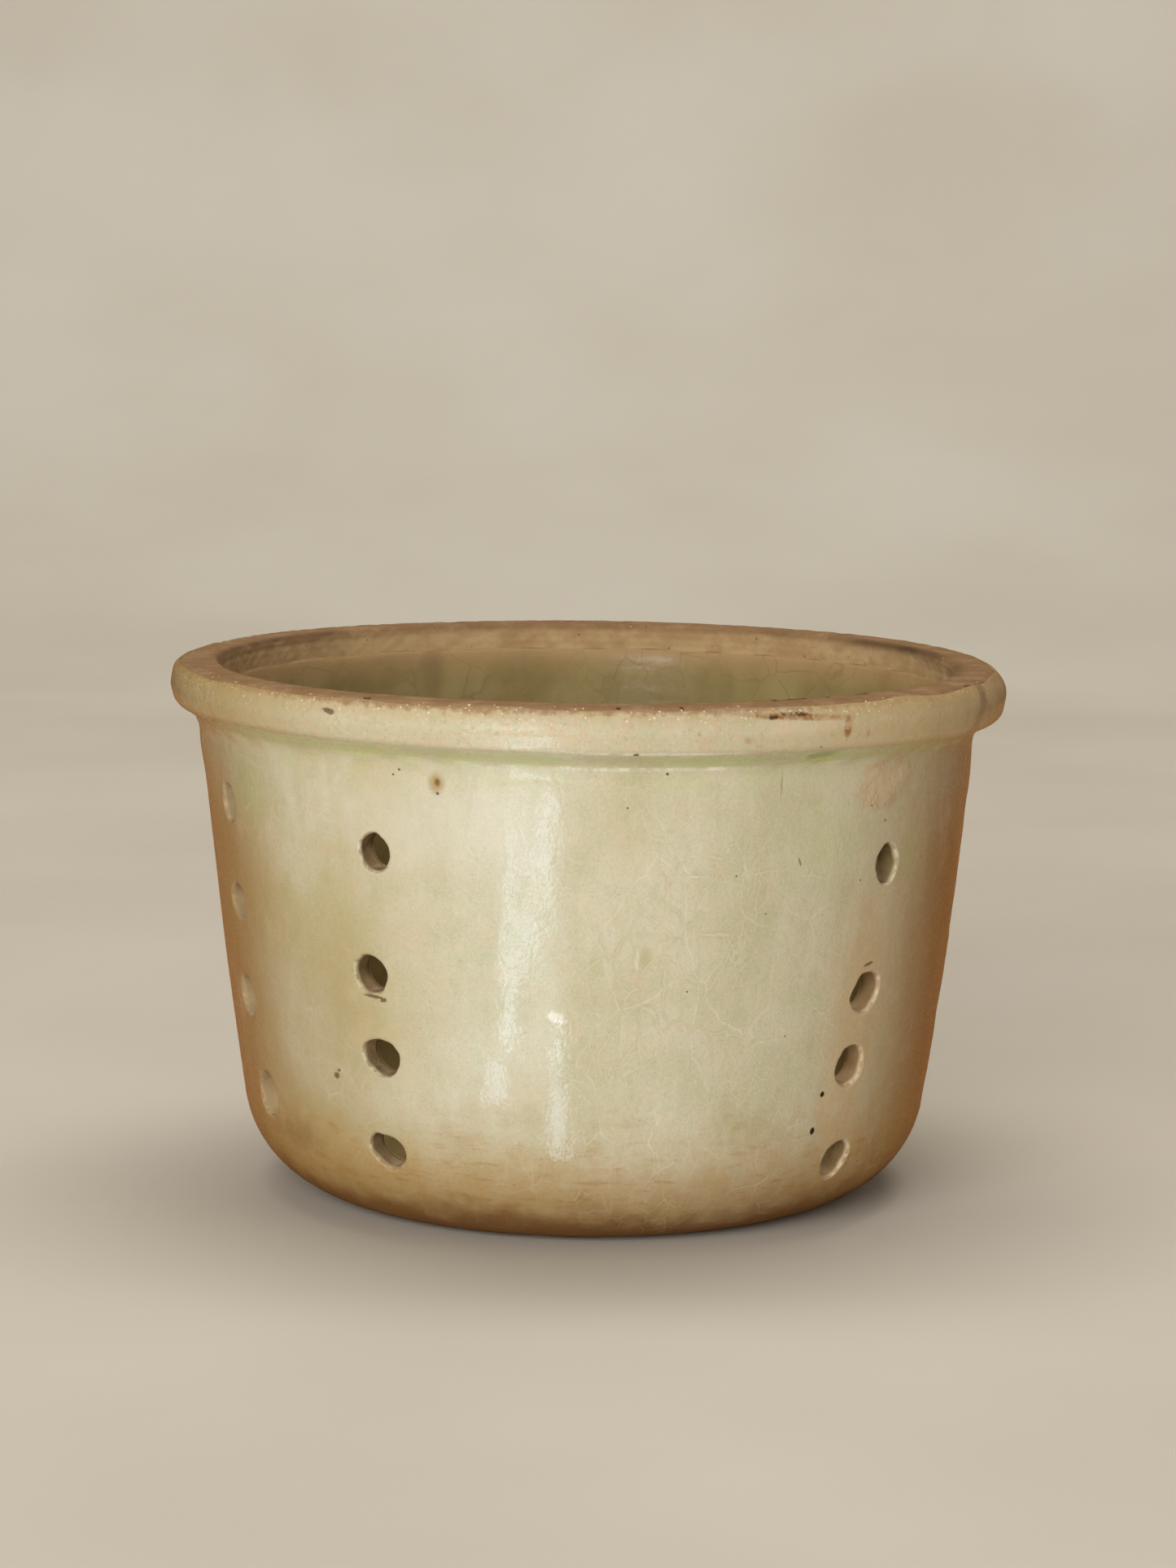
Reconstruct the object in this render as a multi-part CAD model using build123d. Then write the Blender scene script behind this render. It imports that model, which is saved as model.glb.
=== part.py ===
from build123d import *
import math
import os

# A wheel-thrown stoneware cheese strainer (a draining mould, "faisselle"):
# a straight-sided tapered pot with a rolled collar under a flat bare lip, a
# large rounded heel, a flat floor, and columns of hand-pierced drain holes.
# Millimetres, +Z up. Origin: centre of the flat underside. The side with the
# two close columns of holes on its left faces -Y.
#
# The pot is one fired body under two coats of glaze. The body is divided where
# the potter forms it: floor disc, rounded heel, pierced wall, rolled collar.
# The glaze coats are their own thin closed solids. All of them meet face to
# face, and none overlaps another.

# ---------------------------------------------------------------- dimensions
HEIGHT = 127.0            # underside to lip
COLLAR_R = 100.0          # largest radius, over the glaze
GLAZE_T = 0.45            # thickness of each glaze coat

HEEL_R = 26.3             # outer radius of the rounded heel, in the clay
WALL_Z0, WALL_Z1 = 22.6, 112.0     # where the heel ends and the collar begins
WALL_A, WALL_B, WALL_C = 78.816, 0.15417, -0.00026749   # glazed radius at height z

FLOOR_T = 5.6             # clay thickness of the floor
FLOOR_R = 55.0            # joint between floor disc and heel
HEEL_TOP = 11.0           # joint between heel and wall
COLLAR_Z = 112.0          # joint between wall and collar
INNER_HEEL_R = 22.0       # inner radius where floor turns into wall

LIP_IN_R = 88.25          # inner edge of the lip
LIP_OUT_R = 98.35         # outer corner of the lip before rounding
GLAZE_FOOT_R = 63.4       # the outer coat stops here, clear of the foot
GLAZE_TOP_Z = 125.9       # and here, on the outer rounding of the lip
INNER_GLAZE_TOP_Z = 120.5  # the inner coat stops this high inside

BORE_R = 4.0              # drain hole, over its glaze lining
LINING_T = 0.35           # glaze lining of a drain hole
FLOOR_BORE_R = 4.0        # drain hole in the floor, not lined

# Drain holes in the wall: angle from the front (-Y), positive towards +X, and
# the height of the mouth's centre on the outside. Columns stand in pairs.
WALL_HOLES = {
    -66.0: [(-65.6, 96.8), (-66.0, 73.1), (-66.9, 50.4), (-62.9, 27.9)],
    -32.5: [(-31.5, 91.3), (-33.4, 62.9), (-32.6, 43.6), (-32.8, 21.5)],
    48.0: [(49.4, 87.1), (47.6, 57.5), (45.8, 40.5), (45.4, 17.8)],
    84.0: [(84.2, 93.6), (83.8, 67.4), (84.6, 44.8), (84.0, 24.0)],
    168.0: [(167.2, 89.8), (168.9, 63.0), (168.3, 41.2), (167.4, 19.8)],
    202.0: [(202.6, 95.1), (201.2, 70.6), (201.8, 47.7), (203.0, 25.6)],
}
# Drain holes in the floor: centre, inner ring, outer ring (radius, angle).
FLOOR_HOLES = (
    [(0.8, 200.0)]
    + [(r, a) for r, a in ((21.6, 12), (22.5, 71), (21.2, 133), (22.3, 190), (21.8, 252), (22.6, 309))]
    + [(r, a) for r, a in ((43.2, 20), (42.1, 57), (43.6, 91), (42.6, 128), (43.3, 163),
                           (42.0, 201), (43.5, 236), (42.7, 271), (43.4, 309), (42.3, 343))]
)


# ------------------------------------------------------------ profile helpers
def wall_r(z):
    """Radius of the glazed wall at height z."""
    return WALL_A + WALL_B * z + WALL_C * z * z


def wall_slope(z):
    return WALL_B + 2 * WALL_C * z


def cross(p, d, q, e):
    """Where the line p + s d meets the line q + t e."""
    den = d[0] * e[1] - d[1] * e[0]
    s = ((q[0] - p[0]) * e[1] - (q[1] - p[1]) * e[0]) / den
    return (p[0] + s * d[0], p[1] + s * d[1])


def rounded(points, radii):
    """Chain of lines and tangent arcs through a polygon's corners.
    A line is (p, q). An arc is (p, q, centre, signed radius, turn)."""
    out = []
    last = points[0]
    for i in range(1, len(points) - 1):
        a, b, c = points[i - 1], points[i], points[i + 1]
        u = (b[0] - a[0], b[1] - a[1])
        v = (c[0] - b[0], c[1] - b[1])
        lu, lv = math.hypot(*u), math.hypot(*v)
        u, v = (u[0] / lu, u[1] / lu), (v[0] / lv, v[1] / lv)
        turn = math.atan2(u[0] * v[1] - u[1] * v[0], u[0] * v[0] + u[1] * v[1])
        r = radii[i]
        t = r * math.tan(abs(turn) / 2)
        p = (b[0] - u[0] * t, b[1] - u[1] * t)
        q = (b[0] + v[0] * t, b[1] + v[1] * t)
        s = 1 if turn > 0 else -1
        centre = (p[0] - u[1] * r * s, p[1] + u[0] * r * s)
        out.append((last, p))
        out.append((p, q, centre, r * s, turn))
        last = q
    out.append((last, points[-1]))
    return out


def offset(chain, t):
    """The same chain moved t to its right-hand side."""
    out = []
    for seg in chain:
        if len(seg) == 2:
            (x0, y0), (x1, y1) = seg
            n = math.hypot(x1 - x0, y1 - y0)
            dx, dy = (y1 - y0) / n * t, -(x1 - x0) / n * t
            out.append(((x0 + dx, y0 + dy), (x1 + dx, y1 + dy)))
        else:
            p, q, c, r, turn = seg
            k = (r + t) / r
            out.append(((c[0] + (p[0] - c[0]) * k, c[1] + (p[1] - c[1]) * k),
                        (c[0] + (q[0] - c[0]) * k, c[1] + (q[1] - c[1]) * k), c, r + t, turn))
    return out


def edges_of(chain):
    out = []
    for seg in chain:
        p, q = seg[0], seg[1]
        if len(seg) == 2:
            if math.hypot(q[0] - p[0], q[1] - p[1]) > 1e-6:
                out.append(Line((p[0], 0, p[1]), (q[0], 0, q[1])))
        else:
            c, turn = seg[2], seg[4]
            a = math.atan2(p[1] - c[1], p[0] - c[0]) + turn / 2
            r = math.hypot(p[0] - c[0], p[1] - c[1])
            m = (c[0] + r * math.cos(a), c[1] + r * math.sin(a))
            out.append(ThreePointArc((p[0], 0, p[1]), (m[0], 0, m[1]), (q[0], 0, q[1])))
    return out


def section(*chains):
    """Face in the XZ plane bounded by chains joined end to end."""
    edges = []
    for ch in chains:
        edges += edges_of(ch)
    return make_face(edges)


def window(r0, r1, z0, z1):
    """A rectangle of the XZ plane."""
    return section([((r0, z0), (r1, z0)), ((r1, z0), (r1, z1)), ((r1, z1), (r0, z1)), ((r0, z1), (r0, z0))])


def turned(face):
    return revolve(face, axis=Axis.Z, revolution_arc=360)


# ------------------------------------------------------------- the clay body
# Outer polygon, from the axis up the outside to the lip.
wall_lo = (wall_r(WALL_Z0) - GLAZE_T, WALL_Z0)
wall_hi = (wall_r(WALL_Z1) - GLAZE_T, WALL_Z1)
d_lo = (wall_slope(WALL_Z0), 1.0)
d_hi = (wall_slope(WALL_Z1), 1.0)
heel_corner = cross((0, 0), (1, 0), wall_lo, d_lo)
wall_belly = cross(wall_lo, d_lo, wall_hi, d_hi)
groove = (wall_hi[0] + d_hi[0] * 0.9, WALL_Z1 + 0.9)

chord = math.hypot(wall_hi[0] - wall_lo[0], wall_hi[1] - wall_lo[1])
bend = abs(math.atan(d_lo[0]) - math.atan(d_hi[0]))
BELLY_R = 0.94 * chord / (2 * math.sin(bend / 2))      # nearly the whole wall is this one arc

outer = rounded(
    [(0, 0), heel_corner, wall_belly, groove, (98.75, 115.6), (99.62, 121.2), (LIP_OUT_R + 0.25, HEIGHT),
     (93.0, HEIGHT)],
    [0, HEEL_R, BELLY_R, 1.7, 2.3, 9.0, 2.9, 0],
)

# Inner polygon, from the lip down the inside to the axis.
inner_mid = (82.5, 60.0)
inner_low = (77.45, 22.0)
inner_corner = cross(inner_mid, (inner_mid[0] - inner_low[0], inner_mid[1] - inner_low[1]), (0, FLOOR_T), (1, 0))
inner = rounded(
    [(93.0, HEIGHT), (LIP_IN_R, HEIGHT), inner_mid, inner_corner, (0, FLOOR_T)],
    [0, 0.9, 900.0, INNER_HEEL_R, 0],
)
axis_line = [((0, FLOOR_T), (0, 0))]
clay = section(outer, inner, axis_line)

# --------------------------------------------------------------- glaze coats
# Each coat is the band between the clay's surface and its offset.
def coat(chain, t):
    far = offset(chain, t)
    back = [(far[-1][1], chain[-1][1])]
    front = [(far[0][0], chain[0][0])]
    return section(chain, [(chain[-1][1], far[-1][1])], far, front)


outer_band = coat(outer, GLAZE_T) & window(GLAZE_FOOT_R, 120, -5, GLAZE_TOP_Z)
inner_band = coat(inner, GLAZE_T) & window(0, 95, 0, INNER_GLAZE_TOP_Z)


# --------------------------------------------------------------- drain holes
heel_c = next(s for s in outer if len(s) == 5)[2]


def wall_hole_plane(angle, z):
    """Plane at a hole's mouth, square to the surface, facing outwards."""
    if z < WALL_Z0:
        nz = -(heel_c[1] - z) / (HEEL_R + GLAZE_T)
        nr = math.sqrt(1 - nz * nz)
        r = heel_c[0] + (HEEL_R + GLAZE_T) * nr
    else:
        s = wall_slope(z)
        nr, nz = 1 / math.hypot(1, s), -s / math.hypot(1, s)
        r = wall_r(z)
    a = math.radians(angle - 90)
    return Plane(origin=(r * math.cos(a), r * math.sin(a), z),
                 z_dir=(nr * math.cos(a), nr * math.sin(a), nz))


def wall_rods(radius, depth_in, out):
    rods = []
    for column in WALL_HOLES.values():
        for angle, z in column:
            pl = wall_hole_plane(angle, z)
            rods.append(pl.offset((out - depth_in) / 2) * Cylinder(radius, depth_in + out))
    return rods


def floor_rods(radius, z0, z1):
    return [Pos(r * math.cos(math.radians(a)), r * math.sin(math.radians(a)), (z0 + z1) / 2)
            * Cylinder(radius, z1 - z0) for r, a in FLOOR_HOLES]


bores = wall_rods(BORE_R, 14, 6)
lined = wall_rods(BORE_R + LINING_T, 14, 6)
drains = floor_rods(FLOOR_BORE_R, -3, 12)

# ---------------------------------------------------------------- the pieces
floor_disc = turned(clay & window(0, FLOOR_R, -1, 20)) - drains
rounded_heel = turned(clay & window(FLOOR_R, 120, -1, HEEL_TOP))
wall_ring = turned(clay & window(40, 120, HEEL_TOP, COLLAR_Z))
pierced_wall = wall_ring - lined
rim_collar = turned(clay & window(40, 120, COLLAR_Z, HEIGHT + 5))

linings = [rod & wall_ring for rod in lined]
outer_glaze = (turned(outer_band) + linings) - bores
inner_glaze = turned(inner_band) - (bores + drains)

PIECES = {
    "floor_disc": floor_disc,
    "rounded_heel": rounded_heel,
    "pierced_wall": pierced_wall,
    "rim_collar": rim_collar,
    "outer_glaze": outer_glaze,
    "inner_glaze": inner_glaze,
}

os.makedirs("parts", exist_ok=True)
for name, shape in PIECES.items():
    solids = shape.solids()
    body = solids[0] if len(solids) == 1 else Compound(children=list(solids))
    export_step(body, f"parts/{name}.step")
    bb = body.bounding_box()
    print(f"{name:14s} solids {len(solids)} volume {body.volume:10.1f} valid {body.is_valid} "
          f"z {bb.min.Z:.2f}..{bb.max.Z:.2f} x {bb.min.X:.2f}..{bb.max.X:.2f}")
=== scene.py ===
import math

import bpy
import numpy as np
from mathutils import Matrix, Vector
from mathutils.geometry import delaunay_2d_cdt


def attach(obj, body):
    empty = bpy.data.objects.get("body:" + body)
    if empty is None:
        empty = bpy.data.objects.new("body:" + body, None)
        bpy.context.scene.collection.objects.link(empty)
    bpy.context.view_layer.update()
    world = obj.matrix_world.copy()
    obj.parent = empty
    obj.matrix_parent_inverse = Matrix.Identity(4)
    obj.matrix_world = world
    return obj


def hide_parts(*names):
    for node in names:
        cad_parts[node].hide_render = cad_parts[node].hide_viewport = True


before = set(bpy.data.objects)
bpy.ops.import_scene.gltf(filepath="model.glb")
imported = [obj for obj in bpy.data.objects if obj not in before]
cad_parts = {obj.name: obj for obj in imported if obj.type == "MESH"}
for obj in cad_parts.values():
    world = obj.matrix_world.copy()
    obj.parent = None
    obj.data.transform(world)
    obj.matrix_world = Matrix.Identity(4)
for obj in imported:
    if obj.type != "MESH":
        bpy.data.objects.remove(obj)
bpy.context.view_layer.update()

# A wheel-thrown stoneware cheese strainer: one fired body (floor disc, rounded
# heel, pierced wall, rolled collar) under an outer and an inner coat of glaze.
# Shapes are worked out in millimetres and turned into metres at the end.
# theta is the angle from the front (-Y), positive towards +X.

# ------------------------------------------------------------------ dimensions
HEIGHT = 127.0
COAT = 0.45                # glaze thickness
LINING = 0.35              # glaze thickness inside a drain hole
HEEL_R = 26.3
WALL_A, WALL_B, WALL_C = 78.816, 0.15417, -0.00026749
FLOOR_T = 5.6
FLOOR_R = 55.0
HEEL_TOP = 11.0
COLLAR_Z = 112.0
INNER_HEEL_R = 22.0
LIP_IN_R = 88.25
GLAZE_FOOT_R = 63.4
GLAZE_TOP = (97.5, 125.9)
INNER_GLAZE_TOP_Z = 120.5
ROUND = 0.90               # softening of a drain hole's mouth

# Drain holes in the wall: angle, height, mouth radius, then the outline's
# harmonics as (order, share of the radius, phase in degrees).
HOLES = [
    (-65.6, 96.8, 4.05, [(2, .06, 150), (3, .02, 40)]),
    (-66.0, 73.1, 4.20, [(2, .04, 30), (3, .02, 200)]),
    (-66.9, 50.4, 4.55, [(2, .05, 80), (3, .03, 120)]),
    (-62.9, 27.9, 4.85, [(2, .05, 200), (3, .03, 60)]),
    (-31.5, 91.3, 4.00, [(2, .066, 165), (4, .021, 44)]),
    (-33.4, 62.9, 4.25, [(2, .027, 130), (3, .021, 302)]),
    (-32.6, 43.6, 4.45, [(2, .085, 45), (3, .048, 249)]),
    (-32.8, 21.5, 4.15, [(2, .140, 53), (3, .056, 271)]),
    (49.4, 87.1, 4.10, [(2, .110, 161), (4, .026, 351)]),
    (47.6, 57.5, 4.55, [(2, .080, 265), (4, .030, 285)]),
    (45.8, 40.5, 4.55, [(2, .050, 227), (3, .016, 106)]),
    (45.4, 17.8, 4.20, [(2, .100, 224), (3, .060, 251)]),
    (84.2, 93.6, 4.10, [(2, .050, 20), (3, .030, 10)]),
    (83.8, 67.4, 4.30, [(2, .070, 140), (3, .020, 90)]),
    (84.6, 44.8, 4.25, [(2, .040, 250), (3, .030, 310)]),
    (84.0, 24.0, 4.40, [(2, .080, 70), (3, .020, 170)]),
    (167.2, 89.8, 4.15, [(2, .060, 100), (3, .020, 70)]),
    (168.9, 63.0, 4.35, [(2, .030, 200), (3, .040, 200)]),
    (168.3, 41.2, 4.20, [(2, .090, 320), (3, .020, 30)]),
    (167.4, 19.8, 4.30, [(2, .060, 10), (3, .030, 150)]),
    (202.6, 95.1, 4.05, [(2, .040, 60), (3, .020, 260)]),
    (201.2, 70.6, 4.30, [(2, .080, 290), (3, .030, 130)]),
    (201.8, 47.7, 4.40, [(2, .050, 180), (3, .020, 330)]),
    (203.0, 25.6, 4.25, [(2, .070, 120), (3, .040, 20)]),
]
# Drain holes in the floor: radius and angle (from +X) of each.
FLOOR_HOLES = (
    [(0.8, 200.0)]
    + [(21.6, 12), (22.5, 71), (21.2, 133), (22.3, 190), (21.8, 252), (22.6, 309)]
    + [(43.2, 20), (42.1, 57), (43.6, 91), (42.6, 128), (43.3, 163),
       (42.0, 201), (43.5, 236), (42.7, 271), (43.4, 309), (42.3, 343)]
)


# --------------------------------------------------------------------- profile
def cross(p, d, q, e):
    den = d[0] * e[1] - d[1] * e[0]
    s = ((q[0] - p[0]) * e[1] - (q[1] - p[1]) * e[0]) / den
    return (p[0] + s * d[0], p[1] + s * d[1])


def rounded(points, radii):
    out, last = [], points[0]
    for i in range(1, len(points) - 1):
        a, b, c = points[i - 1], points[i], points[i + 1]
        u = np.array(b, float) - a
        v = np.array(c, float) - b
        u /= np.linalg.norm(u)
        v /= np.linalg.norm(v)
        turn = math.atan2(u[0] * v[1] - u[1] * v[0], float(u @ v))
        r = radii[i]
        t = r * math.tan(abs(turn) / 2)
        p, q = b - u * t, b + v * t
        s = 1 if turn > 0 else -1
        centre = np.array((p[0] - u[1] * r * s, p[1] + u[0] * r * s))
        out.append((np.array(last, float), p))
        out.append((p, q, centre, r, turn))
        last = q
    out.append((np.array(last, float), np.array(points[-1], float)))
    return out


class Skin:
    """A profile line in the (r, z) plane by arc length, with its outward normal."""

    def __init__(self, points, radii, step=0.04):
        P, N = [], []
        for seg in rounded(points, radii):
            if len(seg) == 2:
                p, q = seg
                d = q - p
                L = np.linalg.norm(d)
                if L < 1e-9:
                    continue
                n = max(2, int(L / step))
                t = np.linspace(0, 1, n, endpoint=False)[:, None]
                P.append(p + d * t)
                N.append(np.repeat([[d[1] / L, -d[0] / L]], n, 0))
            else:
                p, q, c, r, turn = seg
                n = max(4, int(abs(turn) * r / step))
                a = math.atan2(p[1] - c[1], p[0] - c[0]) + turn * np.linspace(0, 1, n, endpoint=False)
                ring = np.stack([np.cos(a), np.sin(a)], 1)
                P.append(c + r * ring)
                N.append(ring * (1 if turn > 0 else -1))
        P.append(np.array([points[-1]], float))
        N.append(N[-1][-1:])
        self.P, self.N = np.concatenate(P), np.concatenate(N)
        self.s = np.r_[0, np.cumsum(np.linalg.norm(np.diff(self.P, axis=0), axis=1))]

    def at(self, s, off=0.0):
        r = np.interp(s, self.s, self.P[:, 0])
        z = np.interp(s, self.s, self.P[:, 1])
        nr = np.interp(s, self.s, self.N[:, 0])
        nz = np.interp(s, self.s, self.N[:, 1])
        k = np.hypot(nr, nz)
        return r + off * nr / k, z + off * nz / k

    def nearest(self, r, z):
        """Arc length of the nearest point, and signed distance (positive outside)."""
        r, z = np.ravel(r), np.ravel(z)
        d2 = (r[:, None] - self.P[None, ::4, 0]) ** 2 + (z[:, None] - self.P[None, ::4, 1]) ** 2
        j = np.argmin(d2, 1) * 4
        s = self.s[j]
        for _ in range(2):
            pr, pz = np.interp(s, self.s, self.P[:, 0]), np.interp(s, self.s, self.P[:, 1])
            nr, nz = np.interp(s, self.s, self.N[:, 0]), np.interp(s, self.s, self.N[:, 1])
            s = np.clip(s + (r - pr) * -nz + (z - pz) * nr, 0, self.s[-1])
        pr, pz = np.interp(s, self.s, self.P[:, 0]), np.interp(s, self.s, self.P[:, 1])
        nr, nz = np.interp(s, self.s, self.N[:, 0]), np.interp(s, self.s, self.N[:, 1])
        return s, (r - pr) * nr + (z - pz) * nz

    def s_near(self, r, z):
        return float(self.nearest(np.array([r]), np.array([z]))[0][0])


def wall_r(z):
    return WALL_A + WALL_B * z + WALL_C * z * z


def wall_slope(z):
    return WALL_B + 2 * WALL_C * z


# The clay's outer line, from the centre of the underside up to the lip.
wall_lo, wall_hi = (wall_r(22.6) - COAT, 22.6), (wall_r(112.0) - COAT, 112.0)
d_lo, d_hi = (wall_slope(22.6), 1.0), (wall_slope(112.0), 1.0)
heel_corner = cross((0, 0), (1, 0), wall_lo, d_lo)
wall_belly = cross(wall_lo, d_lo, wall_hi, d_hi)
groove = (wall_hi[0] + d_hi[0] * 0.9, 112.9)
chord = math.hypot(wall_hi[0] - wall_lo[0], wall_hi[1] - wall_lo[1])
BELLY_R = 0.94 * chord / (2 * math.sin(abs(math.atan(d_lo[0]) - math.atan(d_hi[0])) / 2))
OUT = Skin(
    [(0, 0), heel_corner, wall_belly, groove, (98.75, 115.6), (99.62, 121.2), (98.6, HEIGHT), (93.0, HEIGHT)],
    [0, HEEL_R, BELLY_R, 1.7, 2.3, 9.0, 2.9, 0],
)
# The clay's inner line, from the lip down to the centre of the floor.
inner_corner = cross((82.5, 60.0), (82.5 - 77.45, 38.0), (0, FLOOR_T), (1, 0))
INN = Skin(
    [(93.0, HEIGHT), (LIP_IN_R, HEIGHT), (82.5, 60.0), inner_corner, (0, FLOOR_T)],
    [0, 2.0, 900.0, INNER_HEEL_R, 0],
)
S_FOOT = OUT.s_near(GLAZE_FOOT_R, 1.2)
S_TOP = OUT.s_near(*GLAZE_TOP)
S_GROOVE = OUT.s_near(groove[0], groove[1])
S_IN_TOP = INN.s_near(87.7, INNER_GLAZE_TOP_Z)
RING_R = 53.6                      # the floor is laid out flat inside this radius
S_IN_RING = INN.s_near(RING_R, FLOOR_T)


# ------------------------------------------------------------ uneven surfaces
def smooth(x, a, b):
    t = np.clip((np.asarray(x, float) - a) / (b - a), 0, 1)
    return t * t * (3 - 2 * t)


def waves(seed, m, k, n):
    """Smooth field of unit spread over angle (radians) and height (mm); m is the
    range of waves around the pot and k the range of waves per millimetre."""
    g = np.random.default_rng(seed)
    ms = g.integers(m[0], m[1] + 1, n)
    ks = g.uniform(k[0], k[1], n) * g.choice([-1, 1], n) * 2 * np.pi
    ph = g.uniform(0, 2 * np.pi, n)
    am = g.uniform(0.6, 1.0, n)
    am /= math.sqrt(float((am ** 2).sum()) / 2)

    def field(theta, z):
        out = np.zeros(np.broadcast(theta, z).shape)
        for a, mm, kk, p in zip(am, ms, ks, ph):
            out = out + a * np.cos(mm * theta + kk * z + p)
        return out

    return field


def turned_to(theta, deg):
    """Difference of angle from deg, in degrees, wrapped."""
    d = np.degrees(theta) - deg
    return (d + 180) % 360 - 180


def dab(theta, z, deg, height, wide, tall):
    """A soft round patch: 1 at its middle, wide and tall in degrees and mm."""
    return np.exp(-(turned_to(theta, deg) / wide) ** 2 - ((z - height) / tall) ** 2)


leaning = waves(3, (2, 3), (0, 0.004), 4)
lumpy = waves(5, (4, 9), (0.004, 0.016), 12)
lip_wave = waves(8, (2, 7), (0, 0), 6)


def collar_lift(theta):
    """How far the collar's lower edge sits above its mean line, mm."""
    return 1.2 + 0.2 * np.cos(theta) - 0.8 * np.sin(theta)


def thrown(P):
    """The whole pot is a little out of round, as it came off the wheel."""
    P = np.array(P, float)
    th = np.arctan2(P[:, 0], -P[:, 1])
    r = np.hypot(P[:, 0], P[:, 1])
    z = P[:, 2]
    w = smooth(r, 45, 78)
    up = smooth(z, 4, 100)
    dr = 0.14 * leaning(th, z) * up + 0.05 * lumpy(th, z) * smooth(z, 6, 24)
    # the collar bulges and flattens here and there
    dr += 0.45 * dab(th, z, -88, 107, 16, 5.5) - 0.55 * dab(th, z, 92, 109.5, 16, 5)
    top = smooth(z, 111, 116)
    dr -= top * (0.12 - 0.05 * np.clip(lip_wave(th, z), -2, 2))
    dr += 0.30 * dab(th, z, -90, 120, 30, 9)
    dr -= 0.55 * dab(th, z, -90, 115.6, 20, 1.8) + 1.3 * dab(th, z, 90, 126.4, 24, 2.6)
    dr = np.where(z > 113, np.minimum(dr, -0.05), dr)
    dz = -top * (0.16 - 0.06 * np.clip(lip_wave(th, 0 * z), -2, 2)) * smooth(z, 113, 126)
    dz -= 0.45 * dab(th, z, 86, 127, 26, 2.5)
    dz += collar_lift(th) * smooth(z, 111, 115.2) * (1 - smooth(z, 115.2, 122.5)) * smooth(r, 89.5, 93)
    k = 1 + w * dr / np.maximum(r, 1)
    return np.stack([P[:, 0] * k, P[:, 1] * k, z + dz], 1)


runs = waves(21, (24, 60), (0.004, 0.03), 26)       # glaze drawn down the wall
dimpled = waves(22, (40, 110), (0.06, 0.16), 30)    # orange peel
ribbed = waves(23, (0, 3), (0.13, 0.30), 14)        # throwing rings
broad = waves(24, (5, 16), (0.008, 0.03), 18)
grit = waves(31, (90, 190), (0.15, 0.5), 40)
grain = waves(32, (30, 90), (0.1, 0.35), 30)
edge_w = waves(33, (5, 40), (0, 0), 22)


def outer_relief(th, s, z):
    """Relief of the outer glaze, mm outwards."""
    wall = smooth(z, 8, 20) * (1 - smooth(z, 108, 111.5))
    e = wall * (0.045 * broad(th, z) + 0.020 * runs(th, z) + 0.008 * ribbed(th, z)) + 0.004 * dimpled(th, z)
    roll = smooth(z, 113.5, 116)
    e = e + 0.42 * np.exp(-((s - S_GROOVE) / 1.5) ** 2) * (1 + 0.25 * np.clip(runs(th, z * 0.2), -2, 2))
    e = e + 0.06 * np.exp(-((s - S_GROOVE + 1.0) / 0.6) ** 2) * smooth(np.cos(th), 0.75, 0.95)
    e = e + roll * (0.016 * runs(th, z * 0.3) + 0.007 * dimpled(th, z * 1.5))
    # a pressed crescent, a raised blob of glaze, a scar under the collar
    e = e - 0.40 * dab(th, z, 8.3, 69.9, 1.15, 2.0) + 0.14 * dab(th, z, 10.3, 70.4, 1.4, 2.6)
    e = e + 0.30 * dab(th, z, -4.1, 56.2, 1.1, 0.85)
    e = e - 0.10 * dab(th, z, 12.5, 71.5, 4.0, 2.0)
    e = e - 0.16 * dab(th, z, 46.5, 107.0, 5.0, 4.0) * (1 + 0.6 * dimpled(th, z))
    e = e - 0.22 * dab(th, z, -76.5, 31.8, 1.9, 2.2)
    e = e - 0.20 * dab(th, z, -35.2, 123.6, 1.0, 0.7)
    e = e - 0.16 * dab(th, z, 32.6, 115.0, 2.4, 0.6)
    return np.maximum(e, -0.26)


def inner_relief(th, s, z):
    wall = smooth(z, 8, 24)
    return 0.03 * broad(th, z + 300) * wall + 0.012 * runs(th, z + 40) * wall + 0.012 * ribbed(th, z + 11) \
        + 0.003 * dimpled(th, z + 60)


def bare_relief(th, s, z):
    """Relief of the wiped clay at the lip."""
    return 0.030 * grit(th, s * 1.0) + 0.035 * grain(th, s) + 0.03 * ribbed(th, s * 2.2)


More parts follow.
